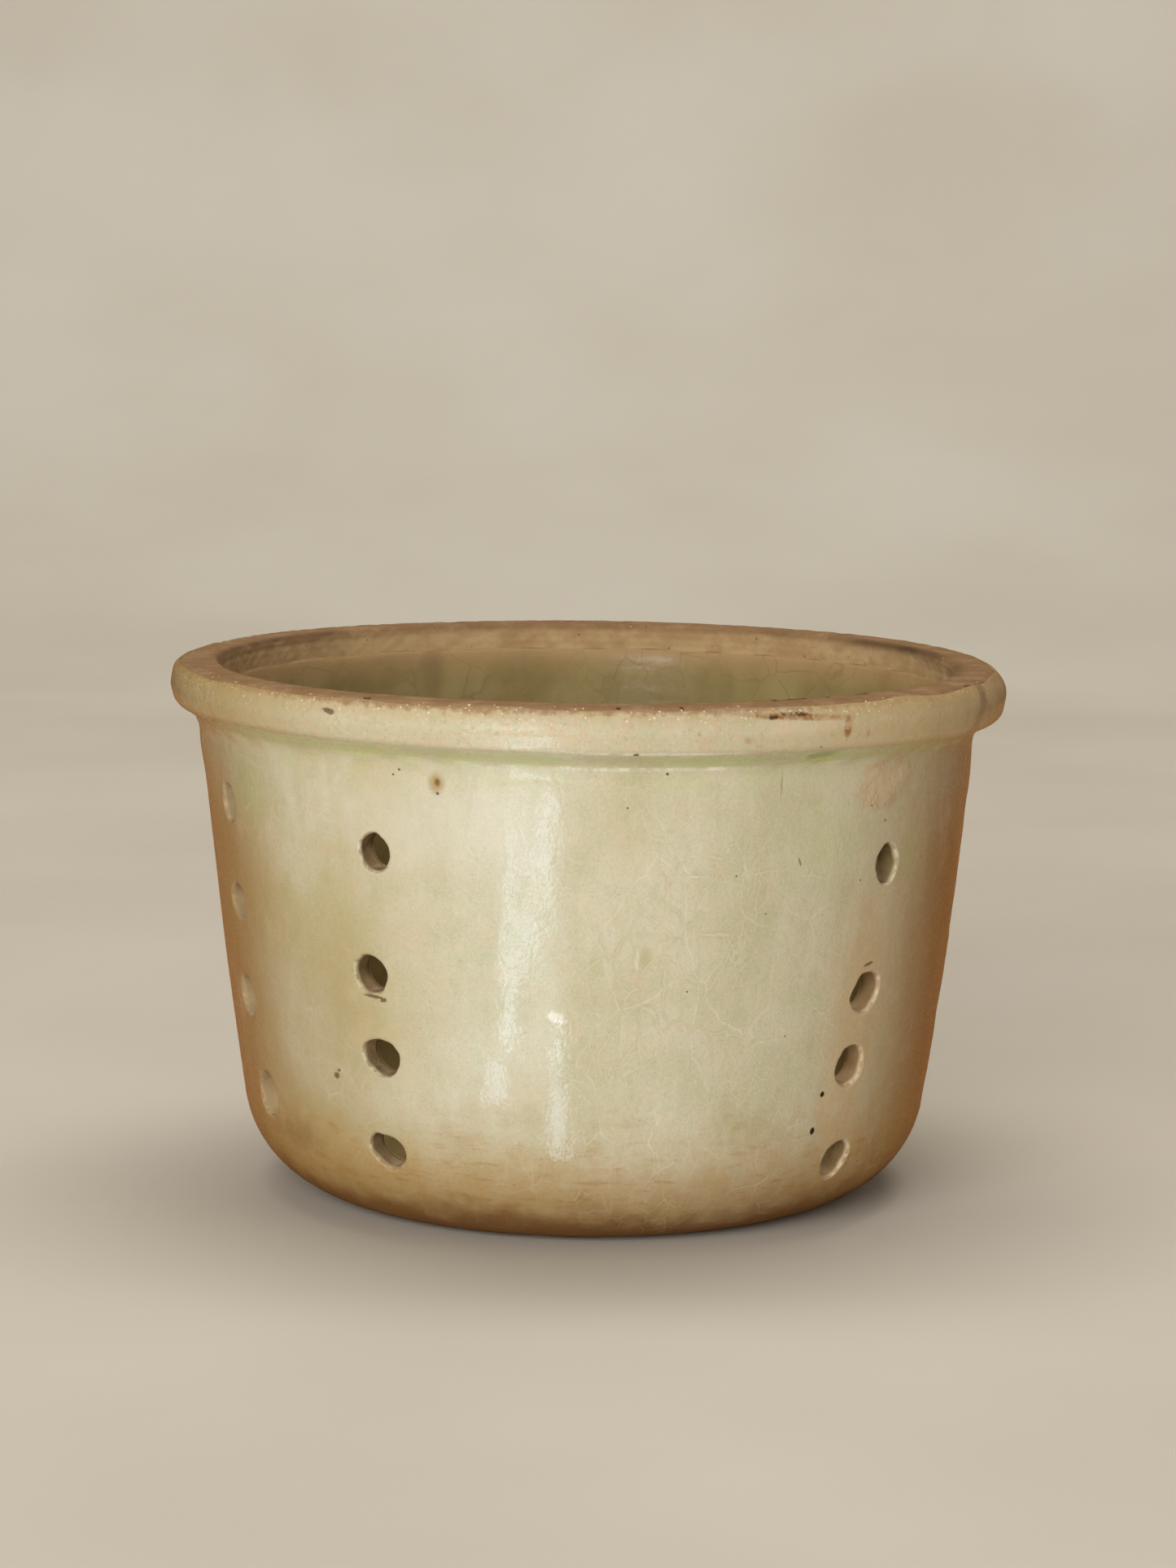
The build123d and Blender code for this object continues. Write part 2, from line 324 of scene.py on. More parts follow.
# ---------------------------------------------------------------------- meshes
class Body:
    """Collects points and faces of one closed mesh."""

    def __init__(self):
        self.pts, self.faces, self.n = [], [], 0
        self.tags = []

    def add(self, pts, tag=0.0):
        pts = np.asarray(pts, float).reshape(-1, 3)
        first = self.n
        self.pts.append(pts)
        self.tags.append(np.full(len(pts), 0.0) + tag)
        self.n += len(pts)
        return np.arange(first, self.n)

    def quad(self, a, b, c, d):
        for q in zip(a, b, c, d):
            self.faces.append(tuple(int(i) for i in q))

    def strip(self, ring_a, ring_b, flip=False):
        """Quads between two closed rings of equal count."""
        a2, b2 = np.roll(ring_a, -1), np.roll(ring_b, -1)
        if flip:
            self.quad(ring_b, b2, a2, ring_a)
        else:
            self.quad(ring_a, a2, b2, ring_b)

    def halve(self, fine, coarse, flip=False):
        """Joins a ring of 2n points to a ring of n points with five-sided faces."""
        n = len(coarse)
        for k in range(n):
            f = (fine[2 * k], fine[2 * k + 1], fine[(2 * k + 2) % (2 * n)], coarse[(k + 1) % n], coarse[k])
            self.faces.append(tuple(int(i) for i in (f[::-1] if flip else f)))

    def tri(self, a, b, c, flip=False):
        self.faces.append((int(c), int(b), int(a)) if flip else (int(a), int(b), int(c)))

    def mesh(self, name, warp=True):
        P = np.concatenate(self.pts)
        if warp:
            P = thrown(P)
        me = bpy.data.meshes.new(name)
        me.from_pydata((P * 0.001).tolist(), [], self.faces)
        me.validate()
        me.update()
        tag = me.attributes.new("bore", "FLOAT", "POINT")
        tag.data.foreach_set("value", np.concatenate(self.tags).astype(np.float32))
        me.shade_smooth()
        ob = bpy.data.objects.new(name, me)
        bpy.context.scene.collection.objects.link(ob)
        return ob


def xyz(th, r, z):
    th, r, z = np.broadcast_arrays(th, r, z)
    return np.stack([r * np.sin(th), -r * np.cos(th), z], -1)


def outline(phi, radius, harmonics):
    k = np.ones_like(phi)
    for m, a, ph in harmonics:
        k = k + a * np.cos(m * phi + math.radians(ph))
    return radius * k


class Hole:
    """A drain hole through the wall: mouth, outline, axis, and where it comes out inside."""

    def __init__(self, deg, z, radius, harmonics):
        self.th, self.z = math.radians(deg), z
        self.radius, self.harm = radius, harmonics
        if z < 22.6:
            cz = OUT_HEEL[1]
            nz = -(cz - z) / (HEEL_R + COAT)
            nr = math.sqrt(1 - nz * nz)
        else:
            s = wall_slope(z)
            nr, nz = 1 / math.hypot(1, s), -s / math.hypot(1, s)
        self.axis = np.array([nr * math.sin(self.th), -nr * math.cos(self.th), nz])
        r0 = wall_r(z) if z >= 22.6 else OUT_HEEL[0] + (HEEL_R + COAT) * nr
        self.s = OUT.s_near(r0, z)
        self.r = r0

    def mouth(self, phi):
        k = self.s * 7.3
        return outline(phi, self.radius, self.harm) \
            + 0.06 * np.cos(5 * phi + k) + 0.04 * np.cos(7 * phi + 2.3 * k) + 0.03 * np.cos(11 * phi + 3.1 * k)

    def deep(self, phi):
        return outline(phi, 0.30 * self.radius + 0.70 * 4.05, [(m, a * 0.6, p) for m, a, p in self.harm])

    def face(self, phi, rho):
        """Angle and arc length on the outer surface of a point rho from the mouth's middle."""
        return self.th + rho * np.cos(phi) / self.r, self.s + rho * np.sin(phi)

    def point(self, phi, rho, depth, off):
        th, s = self.face(phi, rho)
        r, z = OUT.at(s, off)
        return xyz(th, r, z) - np.asarray(depth)[..., None] * self.axis

    def through(self, phi, rho, off_in):
        """Depth at which the line (phi, rho) reaches the inner clay line moved out by off_in."""
        lo, hi = np.zeros_like(phi) + 0.5, np.zeros_like(phi) + 22.0
        for _ in range(15):
            mid = (lo + hi) / 2
            P = self.point(phi, rho, mid, 0.0)
            _, d = INN.nearest(np.hypot(P[:, 0], P[:, 1]), P[:, 2])
            inside = d < off_in
            lo = np.where(inside, mid, lo)
            hi = np.where(inside, hi, mid)
        P = self.point(phi, rho, (lo + hi) / 2, 0.0)
        s, _ = INN.nearest(np.hypot(P[:, 0], P[:, 1]), P[:, 2])
        return (lo + hi) / 2, np.unwrap(np.arctan2(P[:, 0], -P[:, 1])), s


OUT_HEEL = (heel_corner[0] - HEEL_R * math.tan(abs(math.atan2(1, d_lo[0])) / 2), HEEL_R)
DRAINS = [Hole(*h) for h in HOLES]


def phis(n):
    """n angles around a hole, starting at its top, anticlockwise."""
    return np.pi / 2 + np.arange(n) * 2 * np.pi / n


def skin_grid(body, place, cols, rows, centres, half, tag=0.0):
    """A skin of revolution with a rectangular window left open round each centre.
    place(theta, row position) gives points. Returns the index grid and each
    window's boundary, from its top middle anticlockwise (theta right, rows up)."""
    hc, hr = half                                   # cells across / 2, cells tall
    step = 2 * np.pi / cols
    col_th = np.arange(cols) * step - np.pi
    nrow = len(rows)
    live = np.ones((nrow, cols), bool)
    cell = np.ones((nrow - 1, cols), bool)
    frames = []
    for th, s in centres:
        ic = int(round((th + np.pi) / step))
        jm = float(np.interp(s, rows, np.arange(nrow)))
        j0 = int(round(jm - hr / 2))
        j1 = j0 + hr
        i0, i1 = ic - hc, ic + hc
        for j in range(j0, j1):
            for i in range(i0, i1):
                assert cell[j, i % cols]
                cell[j, i % cols] = False
        for j in range(j0 + 1, j1):
            for i in range(i0 + 1, i1):
                live[j, i % cols] = False
        path = [(j1, i) for i in range(ic, i0, -1)] + [(j, i0) for j in range(j1, j0, -1)]
        path += [(j0, i) for i in range(i0, i1)] + [(j, i1) for j in range(j0, j1)] + [(j1, i) for i in range(i1, ic, -1)]
        frames.append(path)
    grid = np.full((nrow, cols), -1)
    J, I = np.nonzero(live)
    pts = place(col_th[I], rows[J])
    grid[J, I] = body.add(pts, tag)
    cj, ci = np.nonzero(cell)
    cells = (grid[cj, ci], grid[cj, (ci + 1) % cols], grid[cj + 1, (ci + 1) % cols], grid[cj + 1, ci])
    out = []
    for path in frames:
        idx = np.array([grid[j, i % cols] for j, i in path])
        par = np.array([(i * step - np.pi, rows[j]) for j, i in path])
        out.append((idx, par))
    return grid, cells, out


def spread(a, b, fine, coarse, edges):
    """Row positions from a to b, fine near the listed (from, to) stretches."""
    out, s = [a], a
    while s < b - 1e-9:
        step = coarse
        for lo, hi in edges:
            if lo - coarse * 0.3 <= s <= hi:
                step = fine
        s = min(b, s + step)
        out.append(s)
    if out[-1] - out[-2] < 0.4 * fine:
        out.pop(-2)
    return np.array(out)


# ------------------------------------------------------------- outer glaze coat
def bead(d, width=0.9, least=0.03):
    """Share of the full thickness at distance d from the coat's edge."""
    t = np.clip(d / width, 0, 1)
    return least + (1 - least) * np.sqrt(np.maximum(0, 1 - (1 - t) ** 2))


def outer_shift(th, s):
    return 0.20 * edge_w(th, 0 * th) * smooth(s, S_TOP - 4, S_TOP) \
        + 0.5 * edge_w(th + 1, 0 * th) * (1 - smooth(s, S_FOOT, S_FOOT + 6))


def place_outer(th, s):
    share = np.minimum(bead(s - S_FOOT), bead(S_TOP - s, 2.4, 0.02))
    s2 = s + outer_shift(th, s)
    _, z = OUT.at(s2)
    off = COAT * share + outer_relief(th, s2, z) * smooth(share, 0.5, 1)
    r, z = OUT.at(s2, off)
    return xyz(th, r, z)


def place_outer_back(th, s):
    r, z = OUT.at(s + outer_shift(th, s))
    return xyz(th, r, z)


def funnel(body, start, par, place, target, shares, flip=False, tag=0.0):
    """Rings from a window's boundary in to the target outline, in surface terms."""
    prev = start
    for w in shares:
        th = par[:, 0] + (target[0] - par[:, 0]) * w
        s = par[:, 1] + (target[1] - par[:, 1]) * w
        ring = body.add(place(th, s), tag)
        body.strip(prev, ring, flip)
        prev = ring
    return prev


def clay_bore(body, h, start, par, place, ext, flip):
    """The bore's wall in the clay (22 segments) from a coarse window to the inner clay line."""
    phi = phis(22)
    Rm, Rd = h.mouth(phi) + ext, h.deep(phi) + ext
    prev = funnel(body, start, par, place, h.face(phi, Rm + ROUND), (0.4, 0.75, 1.0), flip)
    ec = ROUND - COAT
    for a in (0.5, 1.05, np.pi / 2):
        ring = body.add(h.point(phi, Rm + ROUND - ec * math.sin(a), ec * (1 - math.cos(a)) + 0 * phi, 0.0))
        body.strip(prev, ring, flip)
        prev = ring
    end, th_i, s_i = h.through(phi, Rd + LINING, 0.0)
    for f in (0.35, 0.7, 1.0):
        rho = Rm + COAT + (Rd + LINING - Rm - COAT) * f
        ring = body.add(h.point(phi, rho, ec + (end - ec) * f, 0.0))
        body.strip(prev, ring, flip)
        prev = ring
    return prev, th_i, s_i


def build_outer_coat():
    b = Body()
    s_fine = OUT.s_near(92.3, 107.5)
    rows = spread(S_FOOT, S_TOP, 0.55, 1.45, [(s_fine, S_TOP), (S_FOOT, S_FOOT + 1.2)])
    centres = [(h.th, h.s) for h in DRAINS]
    grid, cells, wins = skin_grid(b, place_outer, 400, rows, centres, (6, 10))
    b.quad(*cells)
    back_rows = spread(S_FOOT, S_TOP, 1.2, 2.9, [(s_fine + 3, S_TOP)])
    back, bcells, bwins = skin_grid(b, place_outer_back, 200, back_rows, centres, (3, 5))
    b.quad(*bcells[::-1])
    b.halve(grid[-1], back[-1])
    b.halve(grid[0], back[0], flip=True)
    phi = phis(44)
    for h, (idx, par), (bidx, bpar) in zip(DRAINS, wins, bwins):
        Rm, Rd = h.mouth(phi), h.deep(phi)
        e = ROUND * (1 + 0.18 * np.cos(phi - 0.6 - h.s) + 0.12 * np.cos(5 * phi + 3 * h.s)
                     + 0.06 * np.cos(9 * phi + 7 * h.s))
        prev = funnel(b, idx, par, place_outer, h.face(phi, Rm + e), (0.3, 0.55, 0.75, 0.9, 1.0))
        th, s = h.face(phi, Rm)
        _, z = OUT.at(s)
        lift = outer_relief(th, s, z)
        for a in np.radians((14, 28, 42, 56, 70, 82, 90)):
            k = 1 - math.sin(a)
            ring = b.add(h.point(phi, Rm + e * k, e * (1 - math.cos(a)), COAT + lift * k), 0.35 * math.sin(a) ** 2)
            b.strip(prev, ring)
            prev = ring
        end, _, _ = h.through(phi, Rd, 0.0)
        for f in (0.1, 0.28, 0.5, 0.75, 1.0):
            rough = 0.05 * np.sin(5 * phi + h.s * 3 + f * 4) * math.sin(f * np.pi)
            ring = b.add(h.point(phi, Rm + (Rd - Rm) * f + rough, e + (end + COAT - e) * f - COAT * f,
                                 COAT * (1 - f)), 0.35 + 0.65 * min(1, f * 1.6))
            b.strip(prev, ring)
            prev = ring
        last, _, _ = clay_bore(b, h, bidx, bpar, place_outer_back, 0.0, True)
        b.halve(prev, last)
    return b.mesh("glaze_outer_coat")


# ------------------------------------------------------------- inner glaze coat
Q_TOP, Q_RING = -S_IN_TOP, -S_IN_RING


def inner_shift(th, q):
    return 0.13 * edge_w(th + 2, 0 * th) * smooth(q, Q_TOP - 5, Q_TOP)


def place_inner(th, q):
    share = bead(Q_TOP - q, 2.8, 0.02)
    s = -(q + inner_shift(th, q))
    _, z = INN.at(s)
    r, z = INN.at(s, COAT * share + inner_relief(th, s, z) * smooth(share, 0.5, 1))
    return xyz(th, r, z)


def place_inner_back(th, q):
    r, z = INN.at(-(q + inner_shift(th, q)))
    return xyz(th, r, z)


def sheet(body, ring, holes, spacing, height, flip=False, tag=0.0):
    """Flat floor inside a ring of points, with round openings: triangles between
    the ring, the openings' rings and a lattice. holes is a list of index rings."""
    P = np.concatenate(body.pts)
    loops = [ring] + list(holes)
    pts = [P[l][:, :2] for l in loops]
    rad = np.linalg.norm(pts[0], axis=1).min()
    mids = [(p.mean(0), np.linalg.norm(p - p.mean(0), axis=1).max()) for p in pts[1:]]
    g = np.random.default_rng(5)
    n = int(rad / spacing) + 2
    lat = []
    for j in range(-n, n + 1):
        for i in range(-n, n + 1):
            x = (i + 0.5 * (j % 2)) * spacing + g.uniform(-.12, .12) * spacing
            y = j * spacing * 0.866 + g.uniform(-.12, .12) * spacing
            if math.hypot(x, y) > rad - 0.6 * spacing:
                continue
            if any(math.hypot(x - c[0], y - c[1]) < k + 0.55 * spacing for c, k in mids):
                continue
            lat.append((x, y))
    lat = np.array(lat)
    lat_idx = body.add(np.stack([lat[:, 0], lat[:, 1], height(lat[:, 0], lat[:, 1])], 1), tag)
    verts, edges, ids = [], [], []
    for l, p in zip(loops, pts):
        k0 = len(verts)
        verts += [Vector(q) for q in p.tolist()]
        ids += list(l)
        edges += [(k0 + k, k0 + (k + 1) % len(l)) for k in range(len(l))]
    verts += [Vector(q) for q in lat.tolist()]
    ids += list(lat_idx)
    out = delaunay_2d_cdt(verts, edges, [], 0, 1e-6, True)
    vs, tris, orig = out[0], out[2], out[3]
    owner = {}
    for k, l in enumerate(holes):
        for i in l:
            owner[int(i)] = k
    for t in tris:
        m3 = [int(ids[orig[k][0]]) for k in t]
        if m3[0] in owner and owner[m3[0]] == owner.get(m3[1]) == owner.get(m3[2]):
            continue
        a, b2, c2 = (vs[k] for k in t[:3])
        area = (b2[0] - a[0]) * (c2[1] - a[1]) - (b2[1] - a[1]) * (c2[0] - a[0])
        up = area > 0
        if len(t) == 3:
            body.tri(*m3, flip=(up == flip))


def floor_spiral(x, y):
    r = np.hypot(x, y)
    a = np.arctan2(y, x)
    return (0.16 * np.sin(2 * np.pi * (r / 6.5) + a) * smooth(r, 3, 10) + 0.05 * np.sin(r * 2.4 + 2 * a)) \
        * (1 - smooth(r, 44, 52))


def drain_outline(k, phi, rho):
    r, a = FLOOR_HOLES[k]
    c = (r * math.cos(math.radians(a)), r * math.sin(math.radians(a)))
    R = outline(phi, 1.0, [(2, 0.035, 57 * k), (3, 0.02, 131 * k)]) * rho
    return c[0] + R * np.cos(phi), c[1] + R * np.sin(phi)


PHI_F = np.arange(28) * 2 * np.pi / 28


def build_inner_coat():
    b = Body()
    rows = spread(Q_RING, Q_TOP, 0.7, 1.45, [(Q_TOP - 4, Q_TOP)])
    one = np.zeros(1)
    centres = []
    for h in DRAINS:
        _, th, s = h.through(one, one, 0.0)
        t = float(th[0])
        t += 2 * np.pi * round((h.th - t) / (2 * np.pi))
        centres.append((t, -float(s[0])))
    grid, cells, wins = skin_grid(b, place_inner, 400, rows, centres, (6, 10))
    b.quad(*cells[::-1])
    back_rows = spread(Q_RING, Q_TOP, 1.6, 2.9, [(Q_TOP - 4, Q_TOP)])
    back, bcells, bwins = skin_grid(b, place_inner_back, 200, back_rows, centres, (3, 5))
    b.quad(*bcells)
    b.halve(grid[-1], back[-1], flip=True)
    phi, phb = phis(44), phis(22)
    for h, (tc, qc), (idx, par), (bidx, bpar) in zip(DRAINS, centres, wins, bwins):
        Rd = h.deep(phi)
        _, th0, s0 = h.through(phi, Rd, 0.0)
        _, th1, s1 = h.through(phi, Rd + 0.7, 0.0)
        th0 += 2 * np.pi * np.round((tc - th0.mean()) / (2 * np.pi))
        th1 += 2 * np.pi * np.round((tc - th1.mean()) / (2 * np.pi))
        prev = funnel(b, idx, par, place_inner, (th1, -s1), (0.3, 0.55, 0.75, 0.9, 1.0), flip=True)
        for a in np.radians((22, 45, 68, 90)):
            k = 1 - math.sin(a)
            th, s = th0 + (th1 - th0) * k, s0 + (s1 - s0) * k
            r, z = INN.at(s, COAT * math.cos(a))
            ring = b.add(xyz(th, r, z), 0.8 * math.sin(a))
            b.strip(prev, ring, flip=True)
            prev = ring
        _, thb, sb = h.through(phb, h.deep(phb) + 0.2, 0.0)
        thb += 2 * np.pi * np.round((tc - thb.mean()) / (2 * np.pi))
        last = funnel(b, bidx, bpar, place_inner_back, (thb, -sb), (0.4, 0.75, 1.0))
        b.halve(prev, last, flip=True)
    tops, feet = [], []
    for k in range(len(FLOOR_HOLES)):
        x, y = drain_outline(k, PHI_F, 4.5)
        prev = b.add(np.stack([x, y, np.full(28, FLOOR_T + COAT) + floor_spiral(x, y)], 1))
        tops.append(prev)
        for a in np.radians((30, 60, 90)):
            x, y = drain_outline(k, PHI_F, 4.5 - 0.5 * math.sin(a))
            z = FLOOR_T + COAT * math.cos(a) + floor_spiral(x, y) * math.cos(a)
            ring = b.add(np.stack([x, y, z], 1), 0.6 * math.sin(a))
            b.strip(prev, ring)
            prev = ring
        feet.append(prev)
    sheet(b, grid[0], tops, 1.7, lambda x, y: FLOOR_T + COAT + floor_spiral(x, y))
    sheet(b, back[0], feet, 5.0, lambda x, y: FLOOR_T + 0 * x, flip=True)
    return b.mesh("glaze_inner_coat")


# --------------------------------------------------------------- the clay body
def build_floor_disc():
    b = Body()
    n = 200
    th = np.arange(n) * 2 * np.pi / n - np.pi
    low = b.add(xyz(th, FLOOR_R + 0 * th, 0 * th))
    mid = b.add(xyz(th, FLOOR_R + 0 * th, 0 * th + FLOOR_T / 2))
    high = b.add(xyz(th, FLOOR_R + 0 * th, 0 * th + FLOOR_T - 0.02))
    b.strip(low, mid)
    b.strip(mid, high)
    under, over = [], []
    for k in range(len(FLOOR_HOLES)):
        x, y = drain_outline(k, PHI_F, 4.75)
        prev = b.add(np.stack([x, y, 0 * x], 1))
        under.append(prev)
        for a in np.radians((30, 60, 90)):
            x, y = drain_outline(k, PHI_F, 4.75 - 0.75 * math.sin(a))
            ring = b.add(np.stack([x, y, 0 * x + 0.75 * (1 - math.cos(a))], 1), 0.4 * math.sin(a))
            b.strip(prev, ring, flip=True)
            prev = ring
        x, y = drain_outline(k, PHI_F, 4.0)
        for z in (2.2, 3.9, FLOOR_T - 0.02):
            ring = b.add(np.stack([x, y, 0 * x + z], 1), 1.0)
            b.strip(prev, ring, flip=True)
            prev = ring
        over.append(prev)
    rng = np.random.default_rng(77)
    scars = rng.uniform(-50, 50, (60, 2))

    def base(x, y):
        r = np.hypot(x, y)
        z = 0.05 + 0.05 * np.sin(r * 1.9 + 0.6 * np.arctan2(y, x)) + 0.03 * grain(np.arctan2(y, x), r)
        for sx, sy in scars:
            z = z + 0.18 * np.exp(-((x - sx) ** 2 + (y - sy) ** 2) / 1.6)
        return np.maximum(z, 0) * (1 - smooth(r, 50, 53.5))

    sheet(b, low, under, 1.9, base, flip=True)
    sheet(b, high, over, 6.0, lambda x, y: FLOOR_T - 0.02 + 0 * x)
    return b.mesh("clay_floor_disc")


def build_heel():
    b = Body()
    n = 240
    th = np.arange(n) * 2 * np.pi / n - np.pi
    s0, s1 = OUT.s_near(FLOOR_R, 0), OUT.s_near(float(np.interp(HEEL_TOP, OUT.P[:3000, 1], OUT.P[:3000, 0])), HEEL_TOP)
    rings = []
    for s in spread(s0, s1, 0.9, 1.6, [(s0, S_FOOT + 1)]):
        under = smooth(s, S_FOOT - 3, S_FOOT - 2)
        r, z = OUT.at(s + 0 * th, -0.02 * under)
        z = z + 0.03 * np.maximum(0, grain(th, s)) * (1 - under) * smooth(z, 0.0, 0.3)
        rings.append(b.add(xyz(th, r, np.maximum(z, 0 if s < s1 - 1e-6 else HEEL_TOP))))
    q0, q1 = INN.s_near(78.2, HEEL_TOP), INN.s_near(FLOOR_R, FLOOR_T)
    near = np.linspace(INN.s[-1] * 0.3, INN.s[-1], 4000)
    q0 = float(near[np.argmin(np.abs(np.interp(near, INN.s, INN.P[:, 1]) - HEEL_TOP))])
    for s in np.linspace(q0, q1, 16):
        r, z = INN.at(s + 0 * th, -0.02)
        rings.append(b.add(xyz(th, r, np.minimum(z, HEEL_TOP))))
    for a, c in zip(rings, rings[1:] + rings[:1]):
        b.strip(a, c)
    return b.mesh("clay_rounded_heel")


def build_wall():
    b = Body()
    s0 = float(np.interp(HEEL_TOP, OUT.P[(OUT.P[:, 0] > 60) & (OUT.P[:, 1] < 100), 1],
                         OUT.s[(OUT.P[:, 0] > 60) & (OUT.P[:, 1] < 100)]))
    band = (OUT.P[:, 1] > 100) & (OUT.P[:, 1] < 113)
    s1 = float(np.interp(COLLAR_Z, OUT.P[band, 1], OUT.s[band]))

    def outside(th, s):
        r, z = OUT.at(s, -0.02)
        return xyz(th, r, z)

    def inside(th, q):
        r, z = INN.at(-q, -0.02)
        return xyz(th, r, z)

    near = np.linspace(0.5, INN.s[-1] * 0.85, 20000)
    zz = np.interp(near, INN.s, INN.P[:, 1])
    q1 = -float(near[np.argmin(np.abs(zz - COLLAR_Z))])
    q0 = -float(near[np.argmin(np.abs(zz - HEEL_TOP))])
    centres = [(h.th, h.s) for h in DRAINS]
    out, ocells, owins = skin_grid(b, outside, 200, np.linspace(s0, s1, 37), centres, (3, 5))
    b.quad(*ocells)
    one = np.zeros(1)
    inner = []
    for h in DRAINS:
        _, t, s = h.through(one, one, 0.0)
        t = float(t[0])
        t += 2 * np.pi * round((h.th - t) / (2 * np.pi))
        inner.append((t, -float(s[0])))
    inn, icells, iwins = skin_grid(b, inside, 200, np.linspace(q0, q1, 37), inner, (3, 5))
    b.quad(*icells[::-1])
    b.strip(out[-1], inn[-1])
    b.strip(inn[0], out[0])
    for h, (tc, _), (idx, par), (iidx, ipar) in zip(DRAINS, inner, owins, iwins):
        last, t, s = clay_bore(b, h, idx, par, outside, 0.03, False)
        t = t + 2 * np.pi * np.round((tc - t.mean()) / (2 * np.pi))
        prev = iidx
        for w in (0.4, 0.75):
            th = ipar[:, 0] + (t - ipar[:, 0]) * w
            q = ipar[:, 1] + (-s - ipar[:, 1]) * w
            ring = b.add(inside(th, q))
            b.strip(prev, ring, flip=True)
            prev = ring
        b.strip(prev, last, flip=True)
    return b.mesh("clay_pierced_wall")


def build_collar():
    b = Body()
    n = 500
    th = np.arange(n) * 2 * np.pi / n - np.pi
    band = (OUT.P[:, 1] > 100) & (OUT.P[:, 1] < 113)
    s1 = float(np.interp(COLLAR_Z, OUT.P[band, 1], OUT.s[band]))
    end = OUT.s[-1]
    q1 = float(np.interp(-COLLAR_Z, -INN.P[:1500, 1], INN.s[:1500]))
    marks = np.concatenate([
        spread(s1, S_TOP - 1.6, 1.5, 1.5, []),
        spread(S_TOP - 1.2, end, 0.34, 0.34, []),
    ])
    rings = []
    for s in marks:
        bare = smooth(s, S_TOP - 1.3, S_TOP + 0.5)
        e = bare_relief(th, s, 0)
        lip_mark = end - s
        # nicks on the outer edge of the wiped band
        for deg, wide, deep in ((-30.3, .8, .30), (3.8, .4, .2), (64, 1.8, .25), (118, 1.2, .3), (201, 1.6, .3), (248, .8, .3)):
            e = e - deep * np.exp(-(turned_to(th, deg) / wide) ** 2 - ((s - S_TOP - 1.0) / 0.7) ** 2)
        r, z = OUT.at(s + 0 * th, -0.02 * (1 - bare) + (e - 0.05) * bare)
        rings.append(b.add(xyz(th, r, np.minimum(z, HEIGHT))))
    for s in np.concatenate([spread(0.34, S_IN_TOP + 1.0, 0.36, 0.36, []), spread(S_IN_TOP + 2.4, q1, 1.5, 1.5, [])]):
        bare = 1 - smooth(s, S_IN_TOP - 0.3, S_IN_TOP + 1.0)
        e = bare_relief(th, end + s, 0)
        for deg, wide, deep in ((30.8, 1.5, .45), (43, 1.1, .5), (36, .5, .25), (150, 2.2, .4), (-118, 1.2, .4), (228, .9, .4)):
            e = e - deep * np.exp(-(turned_to(th, deg) / wide) ** 2 - ((s - 4.7) / 0.6) ** 2)
        r, z = INN.at(s + 0 * th, -0.02 * (1 - bare) + (e - 0.05) * bare)
        rings.append(b.add(xyz(th, r, np.minimum(z, HEIGHT))))
    for a, c in zip(rings, rings[1:] + rings[:1]):
        b.strip(a, c)
    return b.mesh("clay_rim_collar")


PIECES = [
    (build_floor_disc(), "floor_disc", "bare_stoneware"),
    (build_heel(), "rounded_heel", "bare_stoneware"),
    (build_wall(), "pierced_wall", "bare_stoneware"),
    (build_collar(), "rim_collar", "bare_stoneware"),
    (build_outer_coat(), "outer_glaze", "celadon_glaze"),
    (build_inner_coat(), "inner_glaze", "inner_glaze"),
]
for ob, node, slot in PIECES:
    print(ob.name, "verts", len(ob.data.vertices), "faces", len(ob.data.polygons))

# ------------------------------------------------------------------- materials
def srgb(r, g, b):
    """Linear colour from 0-255 display values."""
    out = []
    for c in (r, g, b):
        c /= 255.0
        out.append(c / 12.92 if c <= 0.04045 else ((c + 0.055) / 1.055) ** 2.4)
    return (*out, 1.0)


